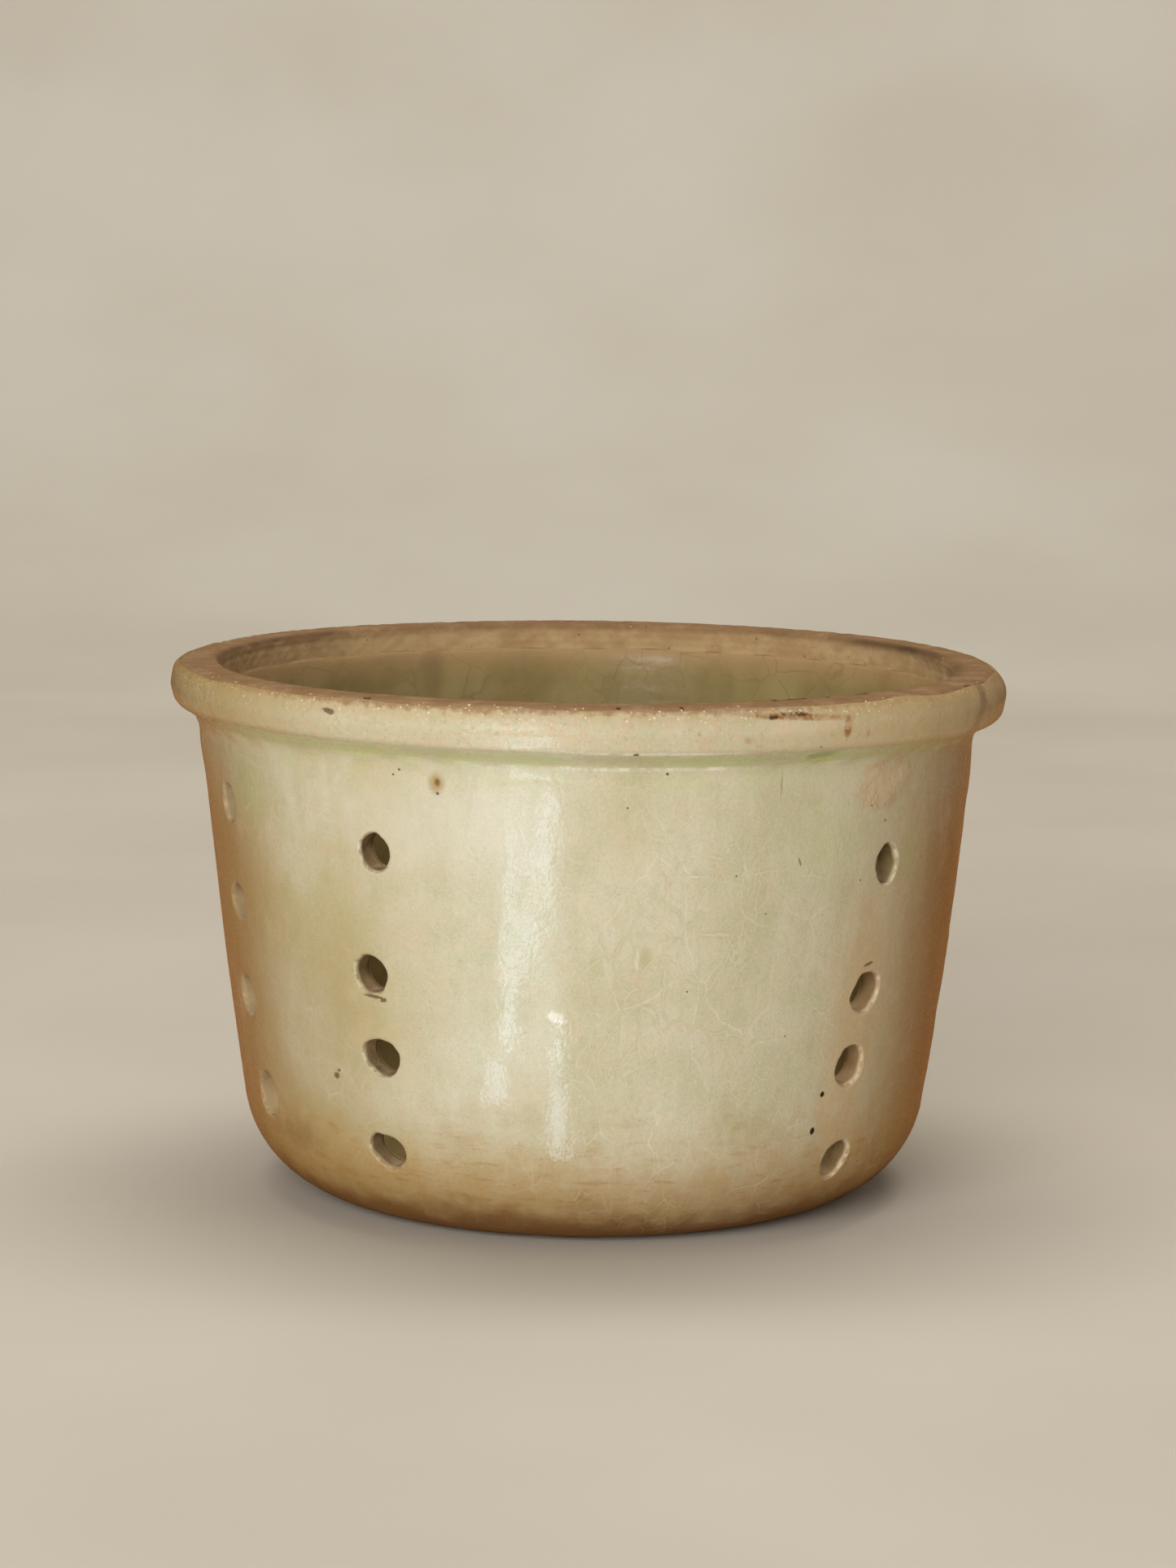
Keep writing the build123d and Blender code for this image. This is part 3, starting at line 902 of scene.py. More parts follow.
class Net:
    """Short names for building one material's nodes."""

    def __init__(self, name):
        self.mat = bpy.data.materials.new(name)
        self.mat.use_nodes = True
        self.nt = self.mat.node_tree
        self.nt.nodes.clear()
        tc = self.nt.nodes.new("ShaderNodeTexCoord")
        self.P = self.vec("SCALE", tc.outputs["Object"], scale=1000.0)      # millimetres
        sep = self.nt.nodes.new("ShaderNodeSeparateXYZ")
        self.nt.links.new(self.P, sep.inputs[0])
        self.x, self.y, self.z = sep.outputs
        self.deg = self.mul(self.op("ARCTAN2", self.x, self.mul(self.y, -1.0)), 57.29578)
        self.r = self.op("SQRT", self.add(self.mul(self.x, self.x), self.mul(self.y, self.y)))
        self.fine = self.noise(0.9, 3, 0.6)
        self.mid = self.noise(0.16, 4, 0.55)
        self.big = self.noise(0.035, 3, 0.5)
        at = self.nt.nodes.new("ShaderNodeAttribute")
        at.attribute_name = "bore"
        self.bore = at.outputs["Fac"]

    def put(self, socket, value):
        if hasattr(value, "is_linked") or isinstance(value, bpy.types.NodeSocket):
            self.nt.links.new(value, socket)
        else:
            socket.default_value = value

    def op(self, kind, a, b=None, c=None, clamp=False):
        n = self.nt.nodes.new("ShaderNodeMath")
        n.operation, n.use_clamp = kind, clamp
        for s, v in zip(n.inputs, (a, b, c)):
            if v is not None:
                self.put(s, v)
        return n.outputs[0]

    def mul(self, a, b):
        return self.op("MULTIPLY", a, b)

    def add(self, a, b):
        return self.op("ADD", a, b)

    def sub(self, a, b):
        return self.op("SUBTRACT", a, b)

    def vec(self, kind, a, b=None, scale=None):
        n = self.nt.nodes.new("ShaderNodeVectorMath")
        n.operation = kind
        self.put(n.inputs[0], a)
        if b is not None:
            self.put(n.inputs[1], b)
        if scale is not None:
            self.put(n.inputs["Scale"], scale)
        return n.outputs["Value"] if kind in ("LENGTH", "DISTANCE", "DOT_PRODUCT") else n.outputs[0]

    def noise(self, scale, detail=2, rough=0.5, distort=0.0, stretch=(1, 1, 1), at=(0, 0, 0), vector=None):
        """Noise, 0 to 1 around 0.5; scale is in waves per millimetre."""
        p = vector if vector is not None else self.P
        if stretch != (1, 1, 1):
            p = self.vec("MULTIPLY", p, stretch)
        if at != (0, 0, 0):
            p = self.vec("ADD", p, at)
        n = self.nt.nodes.new("ShaderNodeTexNoise")
        self.put(n.inputs["Vector"], p)
        n.inputs["Scale"].default_value = scale
        n.inputs["Detail"].default_value = detail
        n.inputs["Roughness"].default_value = rough
        n.inputs["Distortion"].default_value = distort
        return n.outputs["Fac"]

    def cells(self, scale, feature="F1", vector=None, randomness=1.0):
        n = self.nt.nodes.new("ShaderNodeTexVoronoi")
        n.feature = feature
        self.put(n.inputs["Vector"], vector if vector is not None else self.P)
        n.inputs["Scale"].default_value = scale
        n.inputs["Randomness"].default_value = randomness
        return n

    def ramp(self, v, a, b, to0=0.0, to1=1.0):
        """Smooth step of v from a to b."""
        n = self.nt.nodes.new("ShaderNodeMapRange")
        n.interpolation_type = "SMOOTHSTEP"
        self.put(n.inputs["Value"], v)
        n.inputs["From Min"].default_value, n.inputs["From Max"].default_value = a, b
        n.inputs["To Min"].default_value, n.inputs["To Max"].default_value = to0, to1
        return n.outputs["Result"]

    def mix(self, f, a, b, kind="MIX"):
        n = self.nt.nodes.new("ShaderNodeMix")
        n.data_type, n.blend_type, n.clamp_factor = "RGBA", kind, True
        self.put(n.inputs[0], f)
        self.put(n.inputs[6], a)
        self.put(n.inputs[7], b)
        return n.outputs[2]

    def spot(self, deg, z, wide, tall, tilt=0.0, soft=0.4, rag=0.0, rag_noise=None, r0=90.0):
        """Mask of a patch on the wall: wide and tall are half sizes in mm."""
        du = self.mul(self.sub(self.deg, deg), math.radians(1) * r0)
        dz = self.sub(self.z, z)
        ca, sa = math.cos(math.radians(tilt)), math.sin(math.radians(tilt))
        u = self.add(self.mul(du, ca / wide), self.mul(dz, sa / wide))
        v = self.sub(self.mul(dz, ca / tall), self.mul(du, sa / tall))
        d = self.op("SQRT", self.add(self.mul(u, u), self.mul(v, v)))
        if rag:
            d = self.add(d, self.mul(self.sub(rag_noise if rag_noise is not None else self.mid, 0.5), rag))
        return self.ramp(d, 1.0 + soft * 0.5, 1.0 - soft * 0.5 - 0.001)

    def most(self, *masks):
        out = masks[0]
        for m in masks[1:]:
            out = self.op("MAXIMUM", out, m)
        return out

    def specks(self, scale, radius, keep, at=(0, 0, 0), soft=0.35):
        """Small dots: one cell in every 1/keep carries one."""
        p = self.vec("ADD", self.P, at)
        v = self.cells(scale, vector=p)
        sep = self.nt.nodes.new("ShaderNodeSeparateColor")
        self.nt.links.new(v.outputs["Color"], sep.inputs[0])
        size = self.add(self.mul(sep.outputs[1], radius * 0.8 * scale), radius * 0.45 * scale)
        dot = self.ramp(self.op("DIVIDE", v.outputs["Distance"], size), 1.0 + soft, 1.0 - soft)
        pick = self.op("LESS_THAN", sep.outputs[0], keep)
        return self.mul(dot, pick)

    def finish(self, colour, rough, coat=None, bump=None, spec=0.5, ior=1.5):
        p = self.nt.nodes.new("ShaderNodeBsdfPrincipled")
        self.put(p.inputs["Base Color"], colour)
        self.put(p.inputs["Roughness"], rough)
        p.inputs["IOR"].default_value = ior
        p.inputs["Specular IOR Level"].default_value = spec
        if coat:
            p.inputs["Coat Weight"].default_value = coat[0]
            p.inputs["Coat Roughness"].default_value = coat[1]
            p.inputs["Coat IOR"].default_value = 1.5
        if bump is not None:
            b = self.nt.nodes.new("ShaderNodeBump")
            b.inputs["Strength"].default_value = 1.0
            b.inputs["Distance"].default_value = 0.001
            self.put(b.inputs["Height"], bump)
            self.nt.links.new(b.outputs[0], p.inputs["Normal"])
            if coat:
                self.nt.links.new(b.outputs[0], p.inputs["Coat Normal"])
        o = self.nt.nodes.new("ShaderNodeOutputMaterial")
        self.nt.links.new(p.outputs[0], o.inputs[0])
        return self.mat


def crazing(n, cell, width, at=(0, 0, 0), tall=1.0):
    """Thin crack lines between cells, wandering a little; tall < 1 draws the cells upright."""
    w = n.nt.nodes.new("ShaderNodeTexNoise")
    n.put(w.inputs["Vector"], n.P)
    w.inputs["Scale"].default_value = 0.09
    w.inputs["Detail"].default_value = 3
    bend = n.vec("SCALE", n.vec("SUBTRACT", w.outputs["Color"], (0.5, 0.5, 0.5)), scale=5.0)
    p = n.vec("ADD", n.vec("MULTIPLY", n.vec("ADD", n.P, bend), (1, 1, tall)), at)
    v = n.cells(1.0 / cell, "DISTANCE_TO_EDGE", vector=p)
    return n.ramp(v.outputs["Distance"], width / cell, 0.0)


def celadon():
    n = Net("celadon_glaze")
    z, deg = n.z, n.deg
    runs = n.noise(0.10, 3, 0.55, stretch=(1, 1, 0.28))
    haze = n.noise(0.022, 2, 0.5, at=(40, 7, 90))
    # body of the glaze: cream over grey-green, drifting round the pot
    col = n.mix(n.ramp(n.add(n.mul(n.big, 0.7), n.mul(runs, 0.3)), 0.36, 0.64), srgb(186, 181, 149), srgb(200, 195, 171))
    col = n.mix(n.mul(n.ramp(n.mid, 0.5, 0.75), 0.34), col, srgb(190, 194, 162))
    cloud = n.noise(0.20, 4, 0.62, at=(60, 2, 8))
    col = n.mix(n.mul(n.ramp(cloud, 0.50, 0.70), 0.34), col, srgb(205, 187, 158))
    col = n.mix(n.mul(n.ramp(cloud, 0.46, 0.30), 0.34), col, srgb(172, 178, 138))
    col = n.mix(n.mul(n.ramp(n.fine, 0.52, 0.72), 0.22), col, srgb(180, 164, 128))
    dust = n.noise(1.7, 3, 0.6, at=(5, 1, 1))
    col = n.mix(n.mul(n.ramp(dust, 0.52, 0.72), 0.36), col, srgb(216, 208, 188))
    col = n.mix(n.mul(n.ramp(dust, 0.46, 0.30), 0.32), col, srgb(168, 152, 114))
    drift = n.noise(0.30, 4, 0.6, stretch=(1, 1, 0.22), at=(12, 70, 8))
    col = n.mix(n.mul(n.ramp(drift, 0.54, 0.72), 0.22), col, srgb(212, 207, 186))
    col = n.mix(n.mul(n.ramp(drift, 0.44, 0.30), 0.22), col, srgb(176, 174, 130))
    # the left quarter has olive, brown and pale patches; towards both sides the colour is painted browner and darker,
    # a painted reflection of brown surroundings and painted shade, easing off round the back into drifts of glaze
    # colour
    drifts = n.ramp(n.noise(0.026, 2, 0.5, at=(33, 4, 61)), 0.40, 0.66, 0.06, 0.34)
    back = n.ramp(n.op("ABSOLUTE", deg), 86.0, 122.0)
    side = n.mul(n.sub(1.0, n.mul(back, n.sub(1.0, drifts))), n.ramp(z, 84.0, 108.0, 1.0, 0.62))
    left = n.mul(n.ramp(deg, -14.0, -44.0), n.ramp(n.add(haze, n.mul(n.mid, 0.3)), 0.45, 0.75))
    left = n.mul(left, side)
    col = n.mix(n.mul(left, 0.56), col, srgb(167, 149, 94))
    col = n.mix(n.mul(n.spot(-44.0, 40.0, 15.0, 26.0, soft=1.5, rag=0.9), 0.46), col, srgb(156, 136, 86))
    col = n.mix(n.mul(n.spot(-21.0, 100.0, 26.0, 10.0, soft=1.4, rag=0.9), 0.34), col, srgb(216, 213, 200))
    # painted reflection and painted shade: browner and darker towards the left and right edges
    far_left_reflection = n.mul(n.ramp(deg, -43.0, -70.0), side)
    col = n.mix(n.mul(far_left_reflection, 0.70), col, srgb(139, 99, 44))
    right = n.mul(n.ramp(deg, 33.0, 62.0), side)
    col = n.mix(n.mul(right, 0.54), col, srgb(168, 137, 80))
    col = n.mix(n.mul(n.mul(n.ramp(deg, 49.0, 73.0), side), 0.78), col, srgb(128, 88, 38))
    col = n.mix(n.mul(n.ramp(n.noise(0.05, 3, 0.6, at=(9, 60, 3)), 0.56, 0.72), 0.30), col, srgb(200, 180, 146))
    # heel: thin glaze over brown clay, in drifts, darker towards the foot
    low = n.add(z, n.mul(n.sub(n.mid, 0.5), 16.0))
    low = n.add(low, n.mul(n.sub(n.big, 0.5), 14.0))
    col = n.mix(n.mul(n.ramp(low, 38.0, 10.0), 0.76), col, srgb(163, 128, 72))
    # the darkest band at the foot is partly painted shade and painted reflection of a brown floor
    col = n.mix(n.mul(n.ramp(low, 14.0, 2.0), 0.80), col, srgb(114, 76, 34))
    rust = n.mul(n.ramp(low, 38.0, 16.0), n.ramp(n.noise(0.13, 5, 0.68, at=(3, 3, 77), stretch=(1, 1, 5.0)), 0.52, 0.68))
    col = n.mix(n.mul(rust, 0.44), col, srgb(150, 104, 52))
    col = n.mix(n.mul(n.spot(-54.0, 21.0, 9.0, 3.6, soft=1.4, rag=1.6), 0.40), col, srgb(118, 88, 50))
    # green pooled in the groove under the collar, and round it
    lift = n.sub(n.sub(1.2, n.mul(n.op("DIVIDE", n.x, n.r), 0.8)), n.mul(n.op("DIVIDE", n.y, n.r), 0.2))
    zc = n.sub(z, n.mul(lift, n.ramp(z, 111.0, 115.5)))
    gz = n.add(zc, n.mul(n.sub(n.noise(0.12, 3, 0.6, stretch=(1, 1, .3)), 0.5), 1.6))
    pool = n.mul(n.ramp(gz, 112.0, 113.1), n.ramp(gz, 115.3, 114.4))
    part = n.add(n.ramp(n.noise(0.045, 2, 0.5, at=(15, 3, 9)), 0.34, 0.58), n.spot(33.0, 114.0, 6.0, 6.0, soft=1.0))
    ends = n.sub(1.0, n.mul(n.most(n.ramp(deg, 58.0, 78.0), n.ramp(deg, -62.0, -80.0)), 0.7))
    pool = n.mul(pool, ends)
    col = n.mix(n.mul(pool, 0.30), col, srgb(206, 200, 158))
    col = n.mix(n.op("MULTIPLY", pool, n.mul(part, 0.58), clamp=True), col, srgb(190, 198, 136))
    under = n.mul(n.ramp(z, 104.0, 111.5), n.ramp(z, 113.0, 111.5))
    col = n.mix(n.mul(under, n.mul(n.ramp(n.mid, 0.42, 0.66), 0.34)), col, srgb(186, 190, 138))
    # collar: creamier and pinker, with a wiped, thinner top edge
    roll = n.ramp(zc, 114.7, 115.6)
    col = n.mix(n.mul(roll, n.ramp(n.mid, 0.30, 0.62, 0.30, 0.7)), col, srgb(194, 183, 154))
    blush = n.noise(0.3, 4, 0.65, at=(1, 5, 6))
    col = n.mix(n.mul(roll, n.mul(n.ramp(blush, 0.50, 0.68), 0.50)), col, srgb(202, 172, 138))
    col = n.mix(n.mul(roll, n.mul(n.ramp(blush, 0.47, 0.32), 0.55)), col, srgb(180, 182, 134))
    mottle = n.noise(0.95, 4, 0.7, at=(3, 44, 6))
    col = n.mix(n.mul(roll, n.mul(n.ramp(mottle, 0.54, 0.70), 0.42)), col, srgb(164, 134, 92))
    col = n.mix(n.mul(roll, n.mul(n.ramp(mottle, 0.44, 0.32), 0.34)), col, srgb(216, 208, 184))
    # painted highlights: broken pale lines along both edges of the groove, at the front, standing in for the glaze's
    # reflection of the light
    front = n.mul(n.ramp(deg, -6.0, 3.0), n.ramp(deg, 24.0, 16.0))
    broken = n.ramp(n.noise(0.25, 3, 0.6, stretch=(1, 1, 0.1), at=(2, 9, 2)), 0.36, 0.56, 0.15, 1.0)
    painted_groove_highlights = n.most(n.mul(n.ramp(zc, 114.9, 115.2), n.ramp(zc, 115.8, 115.5)),
                  n.mul(n.ramp(zc, 111.9, 112.1), n.ramp(zc, 112.6, 112.4)))
    col = n.mix(n.mul(n.mul(painted_groove_highlights, front), n.mul(broken, 0.62)), col, srgb(232, 230, 214))
    wipe_h = n.add(z, n.mul(n.sub(n.noise(0.5, 4, 0.65), 0.5), 4.2))
    col = n.mix(n.mul(n.ramp(wipe_h, 121.6, 125.4), 0.50), col, srgb(178, 152, 112))
    col = n.mix(n.mul(n.ramp(wipe_h, 124.6, 126.3), 0.85), col, srgb(142, 110, 74))
    # painted reflection of brown surroundings: the collar browner towards both sides
    col = n.mix(n.mul(n.mul(roll, n.mul(n.ramp(deg, 16.0, 44.0), n.sub(1.0, n.mul(back, 0.6)))), 0.52), col, srgb(184, 156, 104))
    col = n.mix(n.mul(n.mul(roll, n.mul(n.ramp(deg, -28.0, -62.0), n.sub(1.0, n.mul(back, 0.6)))), 0.72), col, srgb(162, 138, 86))
    # pale round the drain-hole mouths where the glaze is thick, and paler round the right-hand column: partly painted
    # highlight on the glaze rounded over the rims
    mouth = n.ramp(n.bore, 0.0, 0.10)
    col = n.mix(n.mul(mouth, 0.18), col, srgb(222, 214, 188))
    col = n.mix(n.mul(n.mul(mouth, n.spot(47.0, 62.0, 16.0, 56.0, soft=0.3)), 0.45), col, srgb(228, 214, 186))
    chipped = n.ramp(n.noise(0.55, 4, 0.7, at=(6, 6, 90)), 0.42, 0.56)
    edge = n.mul(n.mul(n.ramp(n.bore, 0.02, 0.12), n.ramp(n.bore, 0.36, 0.24)), chipped)
    col = n.mix(n.mul(edge, 0.65), col, srgb(142, 108, 68))
    tan = n.ramp(n.add(n.bore, n.mul(n.sub(n.mid, 0.5), 0.30)), 0.22, 0.50)
    tan = n.mul(tan, n.sub(1.0, n.mul(n.spot(-66.0, 62.0, 16.0, 60.0, soft=0.3), 0.72)))
    col = n.mix(tan, col, n.mix(n.ramp(n.mid, 0.35, 0.65), srgb(112, 90, 60), srgb(148, 124, 88)))
    # marks on the front and its two sides
    worn = n.noise(0.9, 4, 0.7)
    rough_patch = n.spot(46.8, 106.8, 9.6, 5.8, tilt=14, soft=0.7, rag=1.1)
    heart = n.spot(46.6, 106.6, 6.4, 3.6, tilt=14, soft=1.0, rag=1.2)
    col = n.mix(n.mul(rough_patch, n.ramp(n.noise(0.35, 4, 0.6), 0.42, 0.60, 0.22, 0.72)), col, srgb(188, 149, 108))
    col = n.mix(n.mul(heart, 0.70), col, srgb(200, 180, 146))
    col = n.mix(n.mul(n.spot(45.0, 48.0, 8.0, 28.0, soft=1.5, rag=1.4), 0.34), col, srgb(200, 160, 112))
    halo = n.spot(-21.0, 108.3, 1.5, 1.9, soft=1.5, rag=0.9)
    col = n.mix(n.mul(halo, 0.72), col, srgb(158, 124, 56))
    col = n.mix(n.mul(n.spot(-20.9, 108.5, 0.6, 0.8, soft=1.2), 0.8), col, srgb(104, 74, 24))
    for d0, zz, w, t in ((-20.9, 106.0, .55, .5), (40.2, 34.8, .80, .85), (39.0, 26.3, .90, 1.05), (44.3, 101.5, .35, .3),
                         (10.8, 111.6, .45, .45), (6.1, 116.6, .8, .45), (47.6, 97.6, .35, .5), (21.5, 88.0, .3, .3),
                         (15.0, 62.0, .3, .3), (31.6, 50.0, .3, .3), (26.5, 79.0, .25, .25), (-26.6, 110.8, .5, .35),
                         (-27.6, 109.6, .35, .35), (43.5, 84.4, .35, .35), (5.5, 104.0, .3, .3)):
        m = n.spot(d0, zz, w * 0.72, t * 0.72, soft=0.8, rag=0.7, rag_noise=n.fine)
        col = n.mix(n.mul(m, 0.85), col, srgb(66, 46, 24))
    # the two clear pinholes beside the right-hand column, painted near-black: painted shade inside the pits
    pinhole_shade = n.most(n.spot(40.2, 34.8, .62, .66, soft=0.5, rag=0.4, rag_noise=n.fine),
                  n.spot(39.0, 26.3, .66, .85, tilt=-10, soft=0.5, rag=0.4, rag_noise=n.fine))
    col = n.mix(pinhole_shade, col, srgb(26, 19, 11))
    for d0, zz, w, t, tl in ((-33.0, 57.9, 2.7, .42, -4), (-31.4, 57.3, .9, .42, 12), (-41.9, 37.6, .9, .8, 20),
                             (-41.3, 39.0, .5, .35, 0), (-35.1, 123.4, 1.5, .6, -12),
                             (47.4, 64.2, 1.6, .4, 12), (31.6, 90.2, .25, 1.0, 20)):
        m = n.spot(d0, zz, w, t, tilt=tl, soft=0.6, rag=1.3, rag_noise=n.noise(1.3, 3, 0.6))
        col = n.mix(n.mul(m, 0.8), col, srgb(92, 60, 28))
    col = n.mix(n.mul(n.spot(27.7, 108.3, .22, 2.6, soft=0.9, rag=0.8), 0.60), col, srgb(148, 124, 72))
    col = n.mix(n.mul(n.spot(-4.2, 56.2, 2.2, 1.2, tilt=-18, soft=0.6, rag=1.6, rag_noise=worn), 0.74), col, srgb(230, 231, 216))
    col = n.mix(n.mul(n.spot(8.7, 69.9, 1.3, 2.2, soft=1.4), 0.45), col, srgb(166, 152, 104))
    col = n.mix(n.mul(n.spot(7.4, 69.5, .45, 2.0, soft=1.0), 0.65), col, srgb(222, 214, 186))
    col = n.mix(n.mul(n.spot(54.6, 88.0, 4.0, 6.0, soft=1.3, rag=1.2), 0.30), col, srgb(168, 176, 108))
    col = n.mix(n.mul(n.spot(37.0, 94.0, 10.0, 9.0, soft=1.4, rag=1.6), 0.30), col, srgb(178, 184, 122))
    col = n.mix(n.mul(n.spot(-58.0, 101.0, 9.0, 8.0, soft=1.4, rag=1.2), 0.30), col, srgb(160, 170, 108))
    # brown stain on the collar, right of the middle: a line that turns down at its end
    line = n.most(n.spot(27.6, 124.1, 11.5, .70, tilt=-4, soft=0.9, rag=1.3, rag_noise=worn),
                  n.spot(35.2, 121.4, .95, 2.5, tilt=-6, soft=0.8, rag=0.9, rag_noise=worn))
    col = n.mix(n.mul(n.spot(28.0, 121.8, 8.5, 2.2, soft=0.9, rag=1.4), 0.45), col, srgb(208, 194, 162))
    patchy = n.ramp(n.noise(0.42, 4, 0.7, at=(1, 9, 33)), 0.38, 0.58, 0.25, 1.0)
    col = n.mix(n.mul(n.mul(line, patchy), 0.96), col, srgb(148, 102, 50))
    dark = n.most(n.spot(27.2, 124.7, 3.0, .50, tilt=-3, soft=0.8, rag=1.4, rag_noise=worn),
                  n.spot(24.0, 124.2, 1.6, .40, tilt=2, soft=0.8, rag=1.4, rag_noise=worn))
    col = n.mix(n.mul(n.mul(dark, patchy), 0.92), col, srgb(62, 42, 22))
    for d0, zz, w, t in ((20.6, 119.2, .8, .6), (38.6, 119.4, .6, .7), (-14.5, 122.0, .5, .4), (14.0, 121.0, .4, .4)):
        col = n.mix(n.mul(n.spot(d0, zz, w, t, soft=1.2, rag=1.2, rag_noise=worn), 0.38), col, srgb(160, 104, 58))
    col = n.mix(n.mul(n.spot(65.8, 122.3, 2.1, 5.2, tilt=-30, soft=1.5, rag=1.2), 0.46), col, srgb(96, 76, 50))
    col = n.mix(n.mul(n.spot(32.8, 115.0, 3.4, .9, tilt=8, soft=0.7, rag=1.3), 0.6), col, srgb(120, 128, 62))
    # specks and pinholes everywhere
    col = n.mix(n.mul(n.specks(0.085, 0.26, 0.75), 0.62), col, srgb(92, 66, 34))
    col = n.mix(n.mul(n.specks(0.13, 0.17, 0.7, at=(31, 7, 5)), 0.55), col, srgb(128, 84, 48))
    col = n.mix(n.mul(n.mul(n.specks(0.20, 0.30, 0.55, at=(3, 71, 9), soft=0.8), n.ramp(z, 100, 118, 0.25, 0.9)), 0.42), col,
                srgb(184, 128, 74))
    # painted highlight: pale sparkles along the collar's wiped top edge; they also lower the roughness further down
    painted_sparkle = n.mul(n.specks(1.0, 0.20, 0.46, at=(21, 5, 2), soft=0.5), n.ramp(wipe_h, 120.2, 125.0))
    col = n.mix(n.mul(painted_sparkle, 0.70), col, srgb(236, 229, 208))
    # crazing, strongest right of the middle
    where = n.add(n.ramp(n.big, 0.46, 0.62, 0.10, 0.40), n.spot(18.0, 62.0, 34.0, 40.0, soft=0.9, rag=0.8))
    where = n.mul(where, n.ramp(n.noise(0.07, 2, 0.5, at=(8, 8, 50)), 0.38, 0.62, 0.25, 1.0))
    cr = n.mul(crazing(n, 5.5, 0.17, tall=0.42), n.op("MINIMUM", where, 1.0))
    cr2 = n.mul(crazing(n, 15.0, 0.20, at=(50, 9, 4), tall=0.6), 0.45)
    lines = n.op("MAXIMUM", cr, n.mul(cr2, where))
    col = n.mix(n.mul(lines, 0.60), col, srgb(226, 222, 200))
    # a wider darker band along each crack is painted shade, giving the lines relief
    shade = n.mul(crazing(n, 5.5, 0.40, tall=0.42), n.mul(where, 0.26))
    col = n.mix(shade, col, srgb(156, 146, 98))
    # surface
    rough = n.add(n.ramp(n.mid, 0.3, 0.7, 0.20, 0.32), n.mul(tan, 0.30))
    rough = n.add(rough, n.mul(n.ramp(wipe_h, 121.0, 125.6), 0.42))
    rough = n.sub(rough, n.mul(painted_sparkle, 0.30))
    rough = n.add(rough, n.mul(n.mul(roll, n.ramp(n.fine, 0.45, 0.65)), 0.14))
    rough = n.add(rough, n.mul(rough_patch, 0.25))
    rough = n.add(rough, n.mul(n.ramp(low, 16.0, 2.0), 0.22))
    pits = n.mul(n.specks(0.34, 0.26, 0.35, at=(7, 3, 1)), n.ramp(z, 112, 124, 0.25, 1.0))
    h = n.mul(n.noise(0.24, 3, 0.5, stretch=(1, 1, 0.6)), 0.12)
    pitted = n.ramp(n.noise(0.06, 3, 0.6, at=(11, 30, 5)), 0.44, 0.62)
    h = n.add(h, n.mul(n.mul(n.noise(0.85, 3, 0.6, at=(2, 2, 2)), pitted), 0.050))
    h = n.add(h, n.mul(n.noise(0.42, 2, 0.5, at=(80, 2, 5)), 0.050))
    h = n.add(h, n.mul(n.noise(1.4, 2, 0.5, at=(9, 2, 5), stretch=(1, 1, 0.7)), 0.030))
    rough = n.add(rough, n.mul(n.mul(pitted, n.ramp(n.noise(0.5, 3, 0.6), 0.45, 0.6)), 0.14))
    h = n.add(h, n.mul(n.fine, n.ramp(z, 112.0, 125.0, 0.012, 0.075)))
    h = n.sub(h, n.mul(pits, 0.08))
    h = n.sub(h, n.mul(lines, 0.012))
    h = n.add(h, n.mul(n.mul(rough_patch, n.noise(0.45, 4, 0.6)), 0.35))
    return n.finish(col, rough, coat=(0.70, 0.025), bump=h, spec=0.4)


def inside_glaze():
    n = Net("inner_glaze")
    z, deg = n.z, n.deg
    runs = n.noise(0.07, 3, 0.55, stretch=(1, 1, 0.35), at=(5, 5, 5))
    col = n.mix(n.ramp(n.add(n.mul(n.big, 0.5), n.mul(runs, 0.5)), 0.36, 0.64), srgb(135, 117, 74), srgb(158, 140, 95))
    col = n.mix(n.mul(n.ramp(n.mid, 0.45, 0.7), 0.35), col, srgb(144, 134, 87))
    low = n.add(z, n.mul(n.sub(n.mid, 0.5), 18.0))
    col = n.mix(n.mul(n.ramp(low, 45.0, 6.0), 0.35), col, srgb(126, 106, 68))
    edge = n.add(z, n.mul(n.sub(n.noise(0.12, 4, 0.6), 0.5), 5.0))
    col = n.mix(n.mul(n.ramp(edge, 112.0, 120.6), 0.85), col, srgb(169, 138, 97))
    whey = n.mul(n.ramp(n.noise(0.045, 4, 0.6, at=(70, 3, 9)), 0.56, 0.68), 0.35)
    col = n.mix(whey, col, srgb(134, 108, 68))
    smudge = n.spot(-152.0, 113.0, 3.0, 9.0, soft=1.2, rag=1.2)
    col = n.mix(n.mul(smudge, 0.45), col, srgb(118, 92, 60))
    r = n.r
    rings = n.ramp(n.op("SINE", n.add(n.mul(r, 0.9), n.mul(n.mid, 5.0))), -0.4, 1.0)
    col = n.mix(n.mul(n.mul(rings, n.ramp(z, 12.0, 6.4)), 0.25), col, srgb(128, 110, 72))
    mouth = n.ramp(n.bore, 0.0, 0.25)
    col = n.mix(n.mul(mouth, 0.5), col, srgb(146, 118, 80))
    col = n.mix(n.mul(n.specks(0.085, 0.30, 0.7, at=(2, 9, 4)), 0.65), col, srgb(78, 56, 30))
    col = n.mix(n.mul(n.specks(0.15, 0.22, 0.6, at=(5, 4, 71)), 0.5), col, srgb(110, 76, 44))
    cr = n.mul(crazing(n, 9.0, 0.28), n.ramp(n.big, 0.42, 0.6, 0.15, 0.8))
    col = n.mix(n.mul(cr, 0.4), col, srgb(104, 86, 54))
    rough = n.add(n.ramp(n.mid, 0.3, 0.7, 0.20, 0.36), n.mul(n.ramp(edge, 118.0, 121.5), 0.12))
    h = n.add(n.mul(n.noise(0.3, 3, 0.5), 0.10), n.mul(n.fine, 0.02))
    h = n.sub(h, n.mul(n.specks(0.34, 0.26, 0.3, at=(17, 3, 1)), 0.06))
    return n.finish(col, rough, coat=(0.30, 0.10), bump=h)


